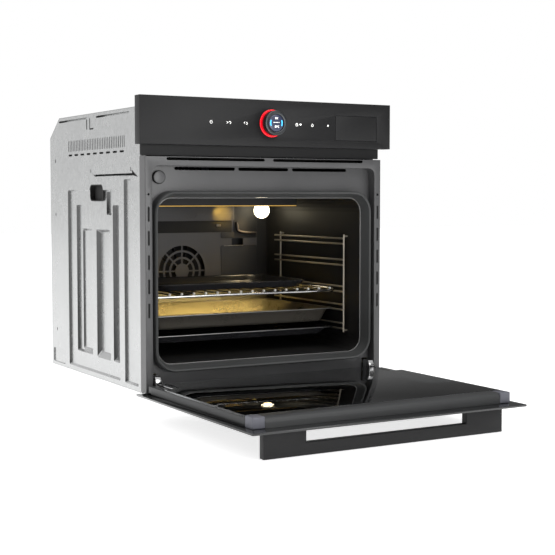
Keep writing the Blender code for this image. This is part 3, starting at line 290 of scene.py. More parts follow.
def keep(name, bm, finish, body, instead=(), sharp=32, outward=True):
    # turns a shape into a piece that rides on a body and stands for the CAD nodes in instead
    if outward:
        bmesh.ops.recalc_face_normals(bm, faces=bm.faces[:])
    mesh = bpy.data.meshes.new(name)
    bm.to_mesh(mesh)
    bm.free()
    mesh.shade_smooth()
    mesh.set_sharp_from_angle(angle=math.radians(sharp))
    mesh.materials.append(materials[finish])
    return attach(name, mesh, body, instead)


def block(low, high, along="z", corner=0.0, edge=0.0, steps=6):
    # a box whose four edges along one axis are rounded, and then its end edges
    bm = bmesh.new()
    size = [b - a for a, b in zip(low, high)]
    middle = Vector([(a + b) / 2 for a, b in zip(low, high)])
    bmesh.ops.create_cube(bm, size=1, matrix=Matrix.Translation(middle) @ Matrix.Diagonal((*size, 1)))
    axis = "xyz".index(along)
    if corner:
        sides = [e for e in bm.edges if abs((e.verts[0].co - e.verts[1].co)[axis]) > 1e-6]
        bmesh.ops.bevel(bm, geom=sides, offset=corner, segments=steps, affect="EDGES", profile=0.5,
                        material=-1)
    if edge:
        bm.normal_update()
        rims = [e for e in bm.edges if sum(abs(f.normal[axis]) > 0.9 for f in e.link_faces) == 1]
        bmesh.ops.bevel(bm, geom=rims, offset=edge, segments=3, affect="EDGES", profile=0.5, material=-1)
    return bm


def merged(*shapes):
    # several shapes as one
    whole = bmesh.new()
    for shape in shapes:
        part = bpy.data.meshes.new("part")
        shape.to_mesh(part)
        shape.free()
        whole.from_mesh(part)
        bpy.data.meshes.remove(part)
    return whole


def spun(profile, centre, axis, steps=64):
    # profile: (radius, distance along the axis) points, spun all the way round
    across = Vector((1, 0, 0)) if axis != "x" else Vector((0, 1, 0))
    way = {"x": Vector((1, 0, 0)), "y": Vector((0, 1, 0)), "z": Vector((0, 0, 1))}[axis]
    bm = bmesh.new()
    points = [bm.verts.new(Vector(centre) + across * radius + way * height) for radius, height in profile]
    edges = [bm.edges.new(pair) for pair in zip(points, points[1:])]
    bmesh.ops.spin(bm, geom=points + edges, cent=centre, axis=way, angle=2 * math.pi, steps=steps,
                   use_merge=True)
    bmesh.ops.remove_doubles(bm, verts=bm.verts[:], dist=1e-6)
    return bm


def wires(name, lines, radius, finish, body, instead=(), closed=False, roundness=4):
    # round wire along one or more lines
    curve = bpy.data.curves.new(name, "CURVE")
    curve.dimensions = "3D"
    curve.bevel_depth = radius
    curve.bevel_resolution = roundness
    curve.use_fill_caps = True
    for line in lines:
        spline = curve.splines.new("POLY")
        spline.points.add(len(line) - 1)
        for point, spot in zip(spline.points, line):
            point.co = (*spot, 1)
        spline.use_cyclic_u = closed
    curve.materials.append(materials[finish])
    return attach(name, curve, body, instead)


def bend(points, radius, steps=6):
    # rounds the corners of a line
    line = [Vector(points[0])]
    for before, corner, after in zip(points, points[1:], points[2:]):
        before, corner, after = Vector(before), Vector(corner), Vector(after)
        back, on = (before - corner).normalized(), (after - corner).normalized()
        reach = min(radius, (before - corner).length * 0.49, (after - corner).length * 0.49)
        start, end = corner + back * reach, corner + on * reach
        for i in range(steps + 1):
            t = i / steps
            line.append(start.lerp(corner, t).lerp(corner.lerp(end, t), t))
    return line + [Vector(points[-1])]


def hoop(low, high, z, radius, steps=8):
    # a level rectangle with round corners, as a closed line
    (x0, y0), (x1, y1) = low, high
    line = []
    for cx, cy, start in ((x1 - radius, y0 + radius, -90), (x1 - radius, y1 - radius, 0),
                          (x0 + radius, y1 - radius, 90), (x0 + radius, y0 + radius, 180)):
        for i in range(steps + 1):
            angle = math.radians(start + 90 * i / steps)
            line.append((cx + radius * math.cos(angle), cy + radius * math.sin(angle), z))
    return line


def copyOf(node, pick=None, width=0.0, steps=3):
    # the CAD solid again, merged, with flat faces whole and the picked edges rounded
    bm = bmesh.new()
    bm.from_mesh(nodes[node].data)
    bmesh.ops.remove_doubles(bm, verts=bm.verts[:], dist=1e-6)
    bmesh.ops.dissolve_limit(bm, angle_limit=math.radians(1), verts=bm.verts[:], edges=bm.edges[:])
    if width:
        bm.normal_update()
        bold = [e for e in bm.edges if len(e.link_faces) == 2 and e.calc_face_angle(0) > math.radians(40)
                and (pick is None or pick(e))]
        bmesh.ops.bevel(bm, geom=bold, offset=width, segments=steps, affect="EDGES", profile=0.5, material=-1)
    return bm


def carve(piece, tools, operation="DIFFERENCE"):
    # cuts or joins the tools in one go and leaves a plain mesh
    group = bpy.data.collections.new("carving")
    bpy.context.scene.collection.children.link(group)
    for tool in tools:
        mesh = bpy.data.meshes.new("tool")
        bmesh.ops.recalc_face_normals(tool, faces=tool.faces[:])
        tool.to_mesh(mesh)
        tool.free()
        group.objects.link(bpy.data.objects.new("tool", mesh))
    step = piece.modifiers.new("carve", "BOOLEAN")
    step.operation, step.operand_type, step.collection = operation, "COLLECTION", group
    bpy.context.view_layer.update()
    seen = piece.evaluated_get(bpy.context.evaluated_depsgraph_get())
    mesh = bpy.data.meshes.new_from_object(seen)
    piece.modifiers.clear()
    old = piece.data
    piece.data = mesh
    bpy.data.meshes.remove(old)
    mesh.materials.clear()
    for tool in list(group.objects):
        bpy.data.objects.remove(tool)
    bpy.data.collections.remove(group)
    return piece


# CAD solids that keep their shape: finish, nodes
plainNodes = {
    "satinLacquer": ["fascia_carrier"],
    "circuitBoard": ["control_board", "power_board"],
    "galvanisedSheet": ["casing_base"],
    # painted shade: the duct and the blower housing are near black for the shade they sit in
    "darkSheetAndPaintedShade": ["air_duct", "blower_housing"],
    "rolledSteel": ["fan_motor", "blower_motor", "steam_generator", "temperature_sensor"],
    "mineralWool": ["insulation_wrap"],
    "steatite": ["lamp_holder"],
    "violetGreyMoulding": ["tank_guide", "blower_wheel"],
    "groundCoatEnamel": ["cavity_muffle", "grill_shield"],
    "printedGlass": ["door_middle_glass"],
}
for finishName, names in plainNodes.items():
    for node in names:
        nodes[node].data.materials.clear()
        nodes[node].data.materials.append(materials[finishName])

# CAD solids with their edges rounded: CAD node, finish, rounding in millimetres
roundedNodes = {
    "controlFascia": ("control_fascia", "satinLacquer", 0.5),
    "drawerFace": ("water_drawer_front", "satinLacquer", 0.35),
    "handleBar": ("door_handle", "satinLacquer", 0.8),
    "doorOuterPane": ("door_outer_glass", "printedGlass", 0.5),
    "doorInnerPane": ("door_inner_glass", "tintedPane", 0.4),
    "doorRailLeft": ("door_rail_left", "blackMoulding", 0.4),
    "doorRailRight": ("door_rail_right", "blackMoulding", 0.4),
    "doorTrim": ("door_top_trim", "blackMoulding", 0.0),
    "doorFoot": ("door_bottom_profile", "blackMoulding", 0.5),
    "hingeCaseLeft": ("hinge_case_left", "rolledSteel", 0.2),
    "hingeCaseRight": ("hinge_case_right", "rolledSteel", 0.2),
    "hingeArmLeft": ("hinge_arm_left", "chromePlate", 0.6),
    "hingeArmRight": ("hinge_arm_right", "chromePlate", 0.6),
    "latchLeft": ("hinge_latch_left", "chromePlate", 0.5),
    "latchRight": ("hinge_latch_right", "chromePlate", 0.5),
    "gasket": ("door_seal", "siliconeRubber", 0.0),
    "probeFlap": ("probe_cap", "greyEnamel", 0.9),
    "fanWheel": ("convection_fan", "darkSheetAndPaintedShade", 0.0),
    "fanCover": ("fan_baffle", "rearEnamelPaintedLight", 0.0),
    "backPanel": ("casing_back", "galvanisedSheet", 0.0),
    "topPanel": ("casing_top", "galvanisedSheet", 0.0),
    "waterTank": ("water_tank", "smokedPolycarbonate", 0.5),
}
for pieceName, (node, finishName, width) in roundedNodes.items():
    shape = copyOf(node, None, width * mm)
    keep(pieceName, shape, finishName, bodyOf[node], (node,), outward=False)
print("kept and rounded solids ready")


# front frame: pressed enamel sheet, its long edges drawn round
rim = {"face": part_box("front_frame")[0].y, "half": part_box("front_frame")[1].x, "inner": 266 * mm,
       "low": 14 * mm, "high": 457 * mm, "foot": 3.2 * mm, "crown": 475.8 * mm, "near": 0.3 * mm,
       "round": 1.1 * mm}


def onRim(edge):
    # true for the front edges of the frame's outline and of its sunk field
    for vert in edge.verts:
        x, y, z = abs(vert.co.x), vert.co.y, vert.co.z
        outer = x > rim["half"] - 0.2 * mm or z < rim["foot"] or z > rim["crown"]
        inner = x < rim["inner"] + rim["near"] and rim["low"] - rim["near"] < z < rim["high"] + rim["near"]
        if y > rim["face"] + 0.2 * mm or not (outer or inner):
            return False
    return True


keep("frontFrame", copyOf("front_frame", onRim, rim["round"]), "greyEnamel", "oven",
     ("front_frame",), outward=False)
print("front frame ready")


# control knob, its light ring and display: profiles are (radius, depth) in millimetres
knob = {"z": joints["dial_turn"]["pos_m"][2], "face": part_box("dial_ring")[0].y, "lens": 0.28 * mm,
        "arc": 0.62 * mm}
knobCentre = Vector((0, 0, knob["z"]))
rimProfile = [(18.2, 15.5), (18.2, 1.4), (18.7, 0.6), (19.6, 0.2), (24.2, 0.2), (25.3, 0.6), (25.9, 1.6),
              (26.0, 3.0), (26.0, 13.5), (25.4, 15.0), (24.6, 15.5), (18.2, 15.5)]
keep("knobRing", spun([(r * mm, knob["face"] + h * mm) for r, h in rimProfile], knobCentre, "y", 96),
     "knobAluminium", "dial_ring", ("dial_ring",))
glassProfile = [(0, 0.3), (10, 0.35), (15.5, 0.7), (17.1, 1.2), (17.55, 2.0), (17.55, 5.0), (6, 5.0),
                (6, 26.0), (0, 26.0)]
keep("displayLens", spun([(r * mm, knob["face"] + h * mm) for r, h in glassProfile], knobCentre, "y"),
     "displayField", "dial", ("dial_display",))
lightProfile = [(21.6, 24.0), (28.4, 24.0), (28.4, 18.9), (27.7, 18.6), (22.3, 18.6), (21.6, 18.9),
                (21.6, 24.0)]
ringLight = spun([(r * mm, knob["face"] + (h - 0.05) * mm) for r, h in lightProfile], knobCentre, "y", 96)
keep("ringLight", ringLight, "redRingLight", "oven", ("knob_light_ring",))


def mark(name, bars, y, finish, body, thick=0.12):
    # flat printed or lit marks: bars are (x, z, width, height, turn) in millimetres and degrees
    shapes = []
    for x, z, w, h, turn in bars:
        shape = block((-w / 2 * mm, 0, -h / 2 * mm), (w / 2 * mm, thick * mm, h / 2 * mm), "y",
                      min(w, h) * 0.3 * mm, 0, 2)
        place = Matrix.Translation((x * mm, y - thick * mm, z * mm))
        bmesh.ops.transform(shape, matrix=place @ Matrix.Rotation(math.radians(turn), 4, "Y"),
                            verts=shape.verts[:])
        shapes.append(shape)
    return keep(name, merged(*shapes), finish, body)


def ringOf(x, z, radius, width, start=0, end=360, count=12):
    # a ring or an arc made of short bars
    bars = []
    step = (end - start) / count
    for i in range(count):
        angle = start + step * (i + 0.5)
        length = 2 * radius * math.sin(math.radians(abs(step) / 2)) + width * 0.5
        bars.append((x + radius * math.cos(math.radians(angle)), z + radius * math.sin(math.radians(angle)),
                     width, length, -angle))
    return bars


knobZ = knob["z"] / mm
mark("displayMarks",
     [(0, knobZ + 11.2, 6.5, 0.8, 0), (0, knobZ + 8.2, 6.5, 0.8, 0), (-2.9, knobZ + 9.7, 0.8, 3.6, 0),
      (2.9, knobZ + 9.7, 0.8, 3.6, 0), (0, knobZ + 9.7, 3.6, 0.7, 0), (-4.5, knobZ + 1.0, 5.5, 1.5, 0),
      (1.5, knobZ + 1.0, 4.5, 1.5, 0), (6.0, knobZ + 1.0, 2.4, 1.5, 0), (-3.2, knobZ - 7.5, 1.3, 4.2, 0),
      (-0.6, knobZ - 7.5, 1.3, 4.2, 0), (-1.9, knobZ - 5.9, 2.6, 1.1, 0), (-1.9, knobZ - 9.1, 2.6, 1.1, 0)]
     + ringOf(2.2, knobZ - 6.3, 0.8, 0.5, count=8) + ringOf(4.9, knobZ - 7.5, 1.8, 0.9, 50, 310, 8),
     knob["face"] + knob["lens"], "whiteMark", "dial")
mark("displayArcs", ringOf(0, knobZ, 13.6, 2.2, -24, 24, 8) + ringOf(0, knobZ, 13.6, 2.2, 156, 204, 8),
     knob["face"] + knob["arc"], "cyanMark", "dial")

markZ = 546.0
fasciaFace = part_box("control_fascia")[0].y
mark("touchMarks",
     ringOf(-141, markZ, 2.6, 0.8, 110, 430, 10) + [(-141, markZ + 2.2, 0.8, 3.0, 0)]
     + [(-104, markZ + 0.8, 4.4, 0.9, 35), (-104, markZ - 0.8, 4.4, 0.9, -35)]
     + ringOf(-98.5, markZ, 2.2, 0.9, -80, 150, 8)
     + [(-64.5, markZ + 1.6, 0.9, 3.4, 45), (-64.5, markZ - 0.2, 0.9, 3.2, -45)]
     + ringOf(-60.5, markZ - 0.6, 2.3, 0.9, -90, 90, 8)
     + ringOf(60, markZ, 2.8, 0.9, 0, 360, 12) + [(60, markZ + 0.8, 0.8, 1.8, 0), (60.7, markZ, 1.6, 0.8, 0)]
     + [(68.2, markZ + 0.6, 3.6, 3.0, 45), (69.6, markZ + 0.6, 3.6, 3.0, -45)]
     + ringOf(98, markZ - 0.6, 2.3, 0.9, 130, 410, 10)
     + [(98, markZ + 2.6, 0.9, 2.2, 20), (99.2, markZ + 1.4, 0.8, 2.0, 0)]
     + [(137, markZ, 4.2, 1.1, 45), (137, markZ, 4.2, 1.1, -45), (137, markZ, 2.2, 2.2, 0)],
     fasciaFace, "whiteMark", "oven")
print("knob and control marks ready")


# racks, shelf, trays, heaters and lamp in the cavity
side = {"post": 236 * mm, "rail": 232.2 * mm, "frontPost": -202.5 * mm, "rearPost": 80.6 * mm, "low": 91 * mm,
        "high": 311 * mm, "front": -206 * mm, "rear": 102 * mm, "levels": (99.4, 141.7, 182.5, 242.4, 290.2),
        "pair": 12.0, "feet": (95 * mm, 307 * mm), "wall": 245.2 * mm, "wire": 2.05 * mm}
for label, sign in (("Left", -1), ("Right", 1)):
    post, rail = sign * side["post"], sign * side["rail"]
    lines = []
    for y in (side["frontPost"], side["rearPost"]):
        lines.append([(post, y, side["low"]), (post, y, side["high"])])
        for z in side["feet"]:
            lines.append([(post, y, z), (sign * side["wall"], y, z)])
    for level in side["levels"]:
        for z in (level * mm, (level + side["pair"]) * mm):
            lines.append([(rail, side["front"], z), (rail, side["rear"], z)])
    wires("rack" + label, lines, side["wire"], "rackWire", "oven", ("rack_" + label.lower(),))

shelf = {"z": 187.8, "half": 228.2, "front": -178, "rear": 138, "rods": 16, "pitch": 28.3, "rod": 1.6,
         "wire": 3.0, "corner": 12, "dip": 3.4, "tip": 2.9}
edgeLine = hoop((-shelf["half"] * mm, shelf["front"] * mm), (shelf["half"] * mm, shelf["rear"] * mm),
                shelf["z"] * mm, shelf["corner"] * mm)
# the front rail runs a little lower, so that the rods end on top of it
dipStart = (shelf["front"] + shelf["corner"]) * mm
edgeLine = [(x, y, z - shelf["dip"] * mm * min(1, max(0, (dipStart - y) / (10 * mm))))
            for x, y, z in edgeLine]
wires("shelfFrame", [edgeLine], shelf["wire"] * mm, "chromePlate", "shelf",
      ("wire_shelf",), True, 6)
rodLines = []
rodZ = (shelf["z"] + 2.2) * mm
for i in range(shelf["rods"]):
    x = (i - (shelf["rods"] - 1) / 2) * shelf["pitch"] * mm
    rodLines.append([(x, (shelf["front"] - 3.0) * mm, rodZ), (x, (shelf["rear"] + 2.2) * mm, rodZ)])
wires("shelfRods", rodLines, shelf["rod"] * mm, "chromePlate", "shelf")
tips = []
for line in rodLines:
    tip = bmesh.new()
    bmesh.ops.create_uvsphere(tip, u_segments=12, v_segments=8, radius=shelf["tip"] * mm,
                              matrix=Matrix.Translation((line[0][0], line[0][1] - 0.3 * mm, rodZ + 0.4 * mm)))
    tips.append(tip)
keep("shelfRodTips", merged(*tips), "paintedGlintEnds", "shelf")


def pan(name, node, corner, rounds, finish, body, rimFinish=None, sheet=0.9):
    # a flat blank drawn into a tray: each step is (inward, down) in millimetres
    low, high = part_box(node)
    bm = bmesh.new()
    reach, drop, before = 0.0, sheet / 2, None
    for inward, down in [(0, 0)] + rounds:
        reach, drop = reach + inward, drop + down
        line = hoop((low.x + reach * mm, low.y + reach * mm), (high.x - reach * mm, high.y - reach * mm),
                    high.z - drop * mm, (corner + 0.2 * reach) * mm)
        ring = [bm.verts.new(spot) for spot in line]
        for i in range(len(ring) if before else 0):
            j = (i + 1) % len(ring)
            bm.faces.new((before[i], before[j], ring[j], ring[i]))
        before = ring
    bm.faces.new(before)
    piece = keep(name, bm, finish, body, (node,), 50, outward=False)
    wall = piece.modifiers.new("sheet", "SOLIDIFY")
    wall.thickness, wall.offset = sheet * mm, 0
    if rimFinish:
        edge = hoop((low.x + 0.9 * mm, low.y + 0.9 * mm), (high.x - 0.9 * mm, high.y - 0.9 * mm),
                    high.z - 0.9 * mm, corner * mm)
        wires(name + "Rim", [edge], 1.2 * mm, rimFinish, body, (), True)
    return piece


pan("deepTray", "deep_tray", 18,
    [(7.5, 0), (1.4, 0.6), (1.2, 2.2), (9.2, 23.6), (1.2, 2.4), (2.2, 1.1), (9, 0.0)],
    "trayEnamel", "deep_tray", "rolledSteel")
pan("shallowPan", "shallow_pan", 18,
    [(7.5, 0), (1.4, 0.6), (1.2, 2.0), (9.0, 10.2), (1.2, 2.0), (2.2, 1.1), (9, 0.0)],
    "darkTrayEnamel", "shallow_pan", "rolledSteel")
pan("bakingTray", "baking_tray", 35,
    [(4.5, 0), (1.2, 0.6), (1.2, 1.8), (7.0, 9.4), (1.2, 1.9), (2.4, 0.8), (12, 0)],
    "darkTrayEnamel", "shelf")


def snake(half, front, rear, runs, z, tail=None):
    # a heater that runs to and fro, with its two tails led back to a wall
    points = []
    pitch = 2 * half / (runs - 1)
    for i in range(runs):
        x = -half + i * pitch
        ends = [(x, rear, z), (x, front, z)]
        points += ends if i % 2 == 0 else ends[::-1]
    if tail:
        points = [(-half, tail, z)] + points[1:-1] + [(half, tail, z)]
    return bend(points, pitch * 0.48, 8)


# half width, front, rear, runs, height, and the wall for the tails
coil = {"grill": (0.150, -0.015, 0.085, 6, 0.383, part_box("cavity_muffle")[1].y - 1.3 * mm),
        "floor": (0.170, -0.170, 0.120, 6, 0.0475), "sheath": 3.25 * mm, "ring": 86 * mm, "ringY": 155.5 * mm,
        "ringZ": 218 * mm}
wires("grillCoil", [snake(*coil["grill"])], coil["sheath"], "heaterSheath", "oven",
      ("grill_element",))
wires("floorCoil", [snake(*coil["floor"])], coil["sheath"], "heaterSheath", "oven",
      ("bottom_heater",))
ringLine = [(coil["ring"] * math.cos(a), coil["ringY"], coil["ringZ"] + coil["ring"] * math.sin(a))
            for a in [2 * math.pi * i / 64 for i in range(64)]]
wires("ringCoil", [ringLine], coil["sheath"], "heaterSheath", "oven", ("ring_heater",), True)
spout = {"line": [(0.146, 0.205, 0.332), (0.146, 0.1385, 0.332), (0.1475, 0.138, 0.312),
                  (0.162, 0.138, 0.3085), (0.199, 0.138, 0.3065)], "bend": 9 * mm, "tube": 4 * mm}
wires("steamSpout", [bend(spout["line"], spout["bend"], 8)], spout["tube"], "heaterSheath", "oven",
      ("steam_pipe",), False, 6)

# a blown dome with a straight neck; the wall goes up outside and comes back down inside
lamp = {"x": 194 * mm, "y": 100 * mm, "low": 343 * mm, "radius": 19 * mm, "top": 397.6 * mm, "wall": 2 * mm,
        "shoulder": 45}
inside = lamp["radius"] - lamp["wall"]
dome = [(0, lamp["low"])]
for i in range(1, 19):
    angle = math.radians(-90 + 7.5 * i)
    dome.append((lamp["radius"] * math.cos(angle), lamp["low"] + lamp["radius"] * (1 + math.sin(angle))))
neck = lamp["radius"] * math.cos(math.radians(lamp["shoulder"]))
dome += [(neck, lamp["top"]), (neck - lamp["wall"], lamp["top"])]
for i in range(10):
    angle = math.radians(lamp["shoulder"] - 15 * i)
    dome.append((inside * math.cos(angle), lamp["low"] + lamp["radius"] + inside * math.sin(angle)))
keep("lampLens", spun(dome, Vector((lamp["x"], lamp["y"], 0)), "z", 40), "lampGlow", "oven",
     ("lamp_glass",))

# probe socket: a turned bush, (radius, depth) in millimetres, and a ring round the flap that covers it
socket = {"x": -242 * mm, "z": 434.6 * mm, "floor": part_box("probe_socket")[1].y - 18 * mm, "ring": 0.7 * mm}
bush = [(3.5, -3.3), (4.2, -3.6), (11.5, -3.6), (12.9, -3.0), (13.4, -1.8), (13.4, -0.3), (8.5, -0.3),
        (8.5, 18), (0, 18), (0, 15), (3.5, 15), (3.5, -3.3)]
keep("probeBush", spun([(r * mm, socket["floor"] + h * mm) for r, h in bush],
                       Vector((socket["x"], 0, socket["z"])), "y", 48), "darkSheetAndPaintedShade", "oven",
     ("probe_socket",))
flapLow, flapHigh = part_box("probe_cap")
flapRim = (flapHigh.x - flapLow.x) / 2 + 0.5 * mm
ringLine = [(socket["x"] + flapRim * math.cos(a), flapHigh.y - 0.6 * mm, socket["z"] + flapRim * math.sin(a))
            for a in [2 * math.pi * i / 48 for i in range(48)]]
wires("probeRing", [ringLine], socket["ring"], "darkSheetAndPaintedShade", "oven", (), True)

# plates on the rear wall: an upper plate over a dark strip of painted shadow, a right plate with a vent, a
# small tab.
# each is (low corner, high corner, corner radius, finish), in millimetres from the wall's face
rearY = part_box("fan_baffle")[0].y
rearPlates = {
    "rearUpperPlate": ((-203, -6.0, 337.5), (138, -5.0, 372.8), 4, "rearEnamelPaintedLight"),
    "rearShadowStrip": ((-203, -0.7, 309.5), (134, -0.1, 337.5), 2, "darkSheetAndPaintedShade"),
    "rearRightPlate": ((104, -1.6, 72), (203, -0.5, 277.2), 3, "groundCoatEnamel"),
    "rearTopPlate": ((104, -1.6, 294.8), (141, -0.5, 309.5), 2, "groundCoatEnamel"),
    "rearCorner": ((139, -1.4, 295), (203, -0.4, 389), 2, "groundCoatEnamel"),
    # painted light: the ledge under the vent takes the lighter tray enamel for the light that falls on it
    "ventLedge": ((112, -4.2, 275.6), (164, -1.6, 277.2), 0.5, "trayEnamel"),
    "rearTab": ((92, -3.6, 323.5), (103, -1.0, 328.5), 1, "trayEnamel"),
}
for pieceName, (low, high, corner, finishName) in rearPlates.items():
    shape = block((low[0] * mm, rearY + low[1] * mm, low[2] * mm),
                  (high[0] * mm, rearY + high[1] * mm, high[2] * mm), "y", corner * mm, 0.2 * mm, 3)
    keep(pieceName, shape, finishName, "oven")
# bead along the shield's lower front edge, glowing as a painted highlight
bead = {"end": 2 * mm, "proud": 0.4 * mm, "rise": 0.6 * mm, "wire": 0.9 * mm}
low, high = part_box("grill_shield")
beadLine = [(x, low.y - bead["proud"], low.z + bead["rise"])
            for x in (low.x + bead["end"], high.x - bead["end"])]
wires("shieldBead", [beadLine], bead["wire"], "paintedGlowEdge", "oven")
# rolled lip round the opening, a little behind the seal
lip = {"half": 244.8 * mm, "low": 55.0 * mm, "high": 392.6 * mm, "corner": 31.0 * mm, "wire": 0.8 * mm,
       "y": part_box("door_seal")[0].y + 25 * mm}
lipTurn = hoop((-lip["half"], lip["low"]), (lip["half"], lip["high"]), 0, lip["corner"])
wires("openingLip", [[(x, lip["y"], z) for x, z, _ in lipTurn]], lip["wire"], "rolledSteel", "oven",
      (), True)
# stepped edge of the upper plate, (x, z) in millimetres
stepLine = [(-203, 353.7), (-30, 353.7), (-21, 344), (29, 344), (38, 353.7), (130, 353.7), (138, 349),
            (138, 338.2), (-203, 338.2)]
step = bmesh.new()
stepFace = step.faces.new([step.verts.new((x * mm, rearY - 6.9 * mm, z * mm)) for x, z in stepLine])
pulled = bmesh.ops.extrude_face_region(step, geom=[stepFace])["geom"]
bmesh.ops.translate(step, vec=(0, 0.9 * mm, 0),
                    verts=[v for v in pulled if isinstance(v, bmesh.types.BMVert)])
keep("rearStep", step, "rearEnamelPaintedLight", "oven")
print("cavity furniture ready")


# side panels: galvanised sheet with drawn fields, slots and a hand grip, in millimetres
panel = {
    "outer": 279.5, "inner": 266.3,
    "outline": [(-252.7, 1.1), (271.9, 1.1), (271.9, 530.2), (210.2, 574.9), (-252.7, 574.9)],
    # y from, y to, z from, z to, depth, slope
    "fields": [(-237, -167, 10, 431, 4.4, 2.2), (-142, 159, 10.5, 410, 4.4, 2.2),
               (186, 263, 6.5, 40, 2.0, 1.2), (-132, -94, 41, 380, 12.0, 6.0), (20, 97, 41, 328, 12.4, 8.0),
               (80, 118, 43, 379, 9.4, 4.0), (-84, 1, 37, 329, 12.4, 10.0), (-92, -61, 352, 408, 9.4, 4.0),
               (-213, -8, 437, 443.4, 1.6, 1.0)],
    "leadOut": 2.2,  # how much longer a field's foot runs out than its other sides
    "grip": (-53.2, 23.0, 385.6, 421.7),
    "slots": [(-198, -19, 564.4, 568.6), (37, 211, 564.4, 568.6), (35, 39.5, 542, 564), (17, 21, 541, 566),
              (-2, 19, 541, 544)],
    # count, first, pitch, length, z from, z to
    "dashes": (9, -158.5, 37.3, 21.5, 486.5, 490.7),
    "louvres": (34, -173, 9.75, 3.4, 497, 521),
    # splits of the flat sheet, which keep its shading even
    "splits": (35, 345, 433, 456, 531),
    "cup": {"inner": 266.4, "outer": 271, "wall": 1.5, "corner": 12, "depth": 12.2},
    "gripShade": {"back": 267.5, "floor": 268.7, "front": 278.9, "gap": 0.2, "wall": 2.0, "corner": 10.8},
    "felt": {"inner": 268.6, "outer": 280.0, "y": (-277.6, -276.6), "z": (120, 392)},
    "dimples": [(236, 240, 474, 482), (237, 241, 351, 358), (236, 240, 82, 89), (-222, -218, 160, 167),
                (-222, -218, 102, 109), (14, 17, 447, 455), (-206, -203, 447, 456)],
}


def field(sign, y0, y1, z0, z1, depth, slope, corner=3.0):
    # a sunk field: wide at the surface and narrower at its floor
    out, deep = panel["outer"] + 0.5, panel["outer"] - depth
    bm = block((-out * mm, y0 * mm, z0 * mm), (-deep * mm, y1 * mm, z1 * mm))
    middle = Vector((0, (y0 + y1) / 2 * mm, (z0 + z1) / 2 * mm))
    for vert in bm.verts:
        if vert.co.x > -(panel["outer"]) * mm:
            vert.co.y += slope * mm * (1 if vert.co.y < middle.y else -1)
            vert.co.z += slope * mm * (panel["leadOut"] if vert.co.z < middle.z else -1)
    lean = [e for e in bm.edges if abs((e.verts[0].co - e.verts[1].co).x) > 1e-6]
    bmesh.ops.bevel(bm, geom=lean, offset=corner * mm, segments=3, affect="EDGES", profile=0.5, material=-1)
    if sign > 0:
        bmesh.ops.scale(bm, vec=(-1, 1, 1), verts=bm.verts[:])
    return bm


def through(sign, y0, y1, z0, z1, deep=11.0, corner=1.2):
    # a slot or dimple with round corners, sunk straight in
    low, high = sorted((sign * (panel["outer"] + 1), sign * (panel["outer"] - deep)))
    return block((low * mm, y0 * mm, z0 * mm), (high * mm, y1 * mm, z1 * mm), "x", corner * mm, 0, 3)


def sideBlock(sign, inner, outer, yRange, zRange, corner, along="x"):
    # a rounded block between two distances from the middle, on either side of the oven
    near, far = sorted((sign * inner, sign * outer))
    return block((near * mm, yRange[0] * mm, zRange[0] * mm), (far * mm, yRange[1] * mm, zRange[1] * mm),
                 along, corner * mm)


for label, sign in (("Left", -1), ("Right", 1)):
    bm = bmesh.new()
    bm.faces.new([bm.verts.new((sign * panel["outer"] * mm, y * mm, z * mm)) for y, z in panel["outline"]])
    for level in panel["splits"]:
        bmesh.ops.bisect_plane(bm, geom=bm.verts[:] + bm.edges[:] + bm.faces[:], plane_co=(0, 0, level * mm),
                               plane_no=(0, 0, 1))
    pulled = bmesh.ops.extrude_face_region(bm, geom=bm.faces[:])["geom"]
    bmesh.ops.translate(bm, vec=(-sign * (panel["outer"] - panel["inner"]) * mm, 0, 0),
                        verts=[v for v in pulled if isinstance(v, bmesh.types.BMVert)])
    node = "casing_" + label.lower()
    piece = keep("casing" + label, bm, "galvanisedSheet", "oven", (node,))
    y0, y1, z0, z1 = panel["grip"]
    cup, gripShade, felt = panel["cup"], panel["gripShade"], panel["felt"]
    wide = cup["wall"]
    carve(piece, [sideBlock(sign, cup["inner"], cup["outer"], (y0 - wide, y1 + wide), (z0 - wide, z1 + wide),
                            cup["corner"])], "UNION")
    tools = [field(sign, *spec) for spec in panel["fields"]]
    tools.append(through(sign, y0, y1, z0, z1, cup["depth"], 11.0))
    tools += [through(sign, *spec) for spec in panel["slots"]]
    count, first, pitch, length, low, high = panel["dashes"]
    tools += [through(sign, first + i * pitch - length / 2, first + i * pitch + length / 2, low, high)
              for i in range(count)]
    count, first, pitch, length, low, high = panel["louvres"]
    tools += [through(sign, first + i * pitch, first + i * pitch + length, low, high, 0.9, 0.8)
              for i in range(count)]
    tools += [through(sign, *spec, 3.0) for spec in panel["dimples"]]
    carve(piece, tools)
    piece.data.materials.append(materials["galvanisedSheet"])
    piece.data.shade_smooth()
    piece.data.set_sharp_from_angle(angle=math.radians(20))
    # painted shade: a dark cup, open to the outside, fills the grip to stand in for the shade inside it
    slim, thick = gripShade["gap"], gripShade["gap"] + gripShade["wall"]
    cupPiece = keep("gripShadeCup" + label, sideBlock(sign, gripShade["back"], gripShade["front"], (y0 + slim, y1 - slim),
                                                 (z0 + slim, z1 - slim), gripShade["corner"]),
                    "darkSheetAndPaintedShade", "oven")
    carve(cupPiece, [sideBlock(sign, gripShade["floor"], 281.0, (y0 + thick, y1 - thick),
                               (z0 + thick, z1 - thick), 9)])
    cupPiece.data.materials.append(materials["darkSheetAndPaintedShade"])
    # felt strip behind the frame's side slots
    keep("slotFelt" + label, sideBlock(sign, felt["inner"], felt["outer"], felt["y"], felt["z"], 1.0, "y"),
         "darkSheetAndPaintedShade", "oven")
print("side panels ready")


# enamel print on the inner pane, corner caps and terminal block
def onDoor(points):
    # closed-door (y, z) in millimetres, turned to the open rest pose
    hinge = joints["door_hinge"]["pos_m"]
    return [(hinge[1] - (z * mm - hinge[2]), hinge[2] + (y * mm - hinge[1])) for y, z in points]


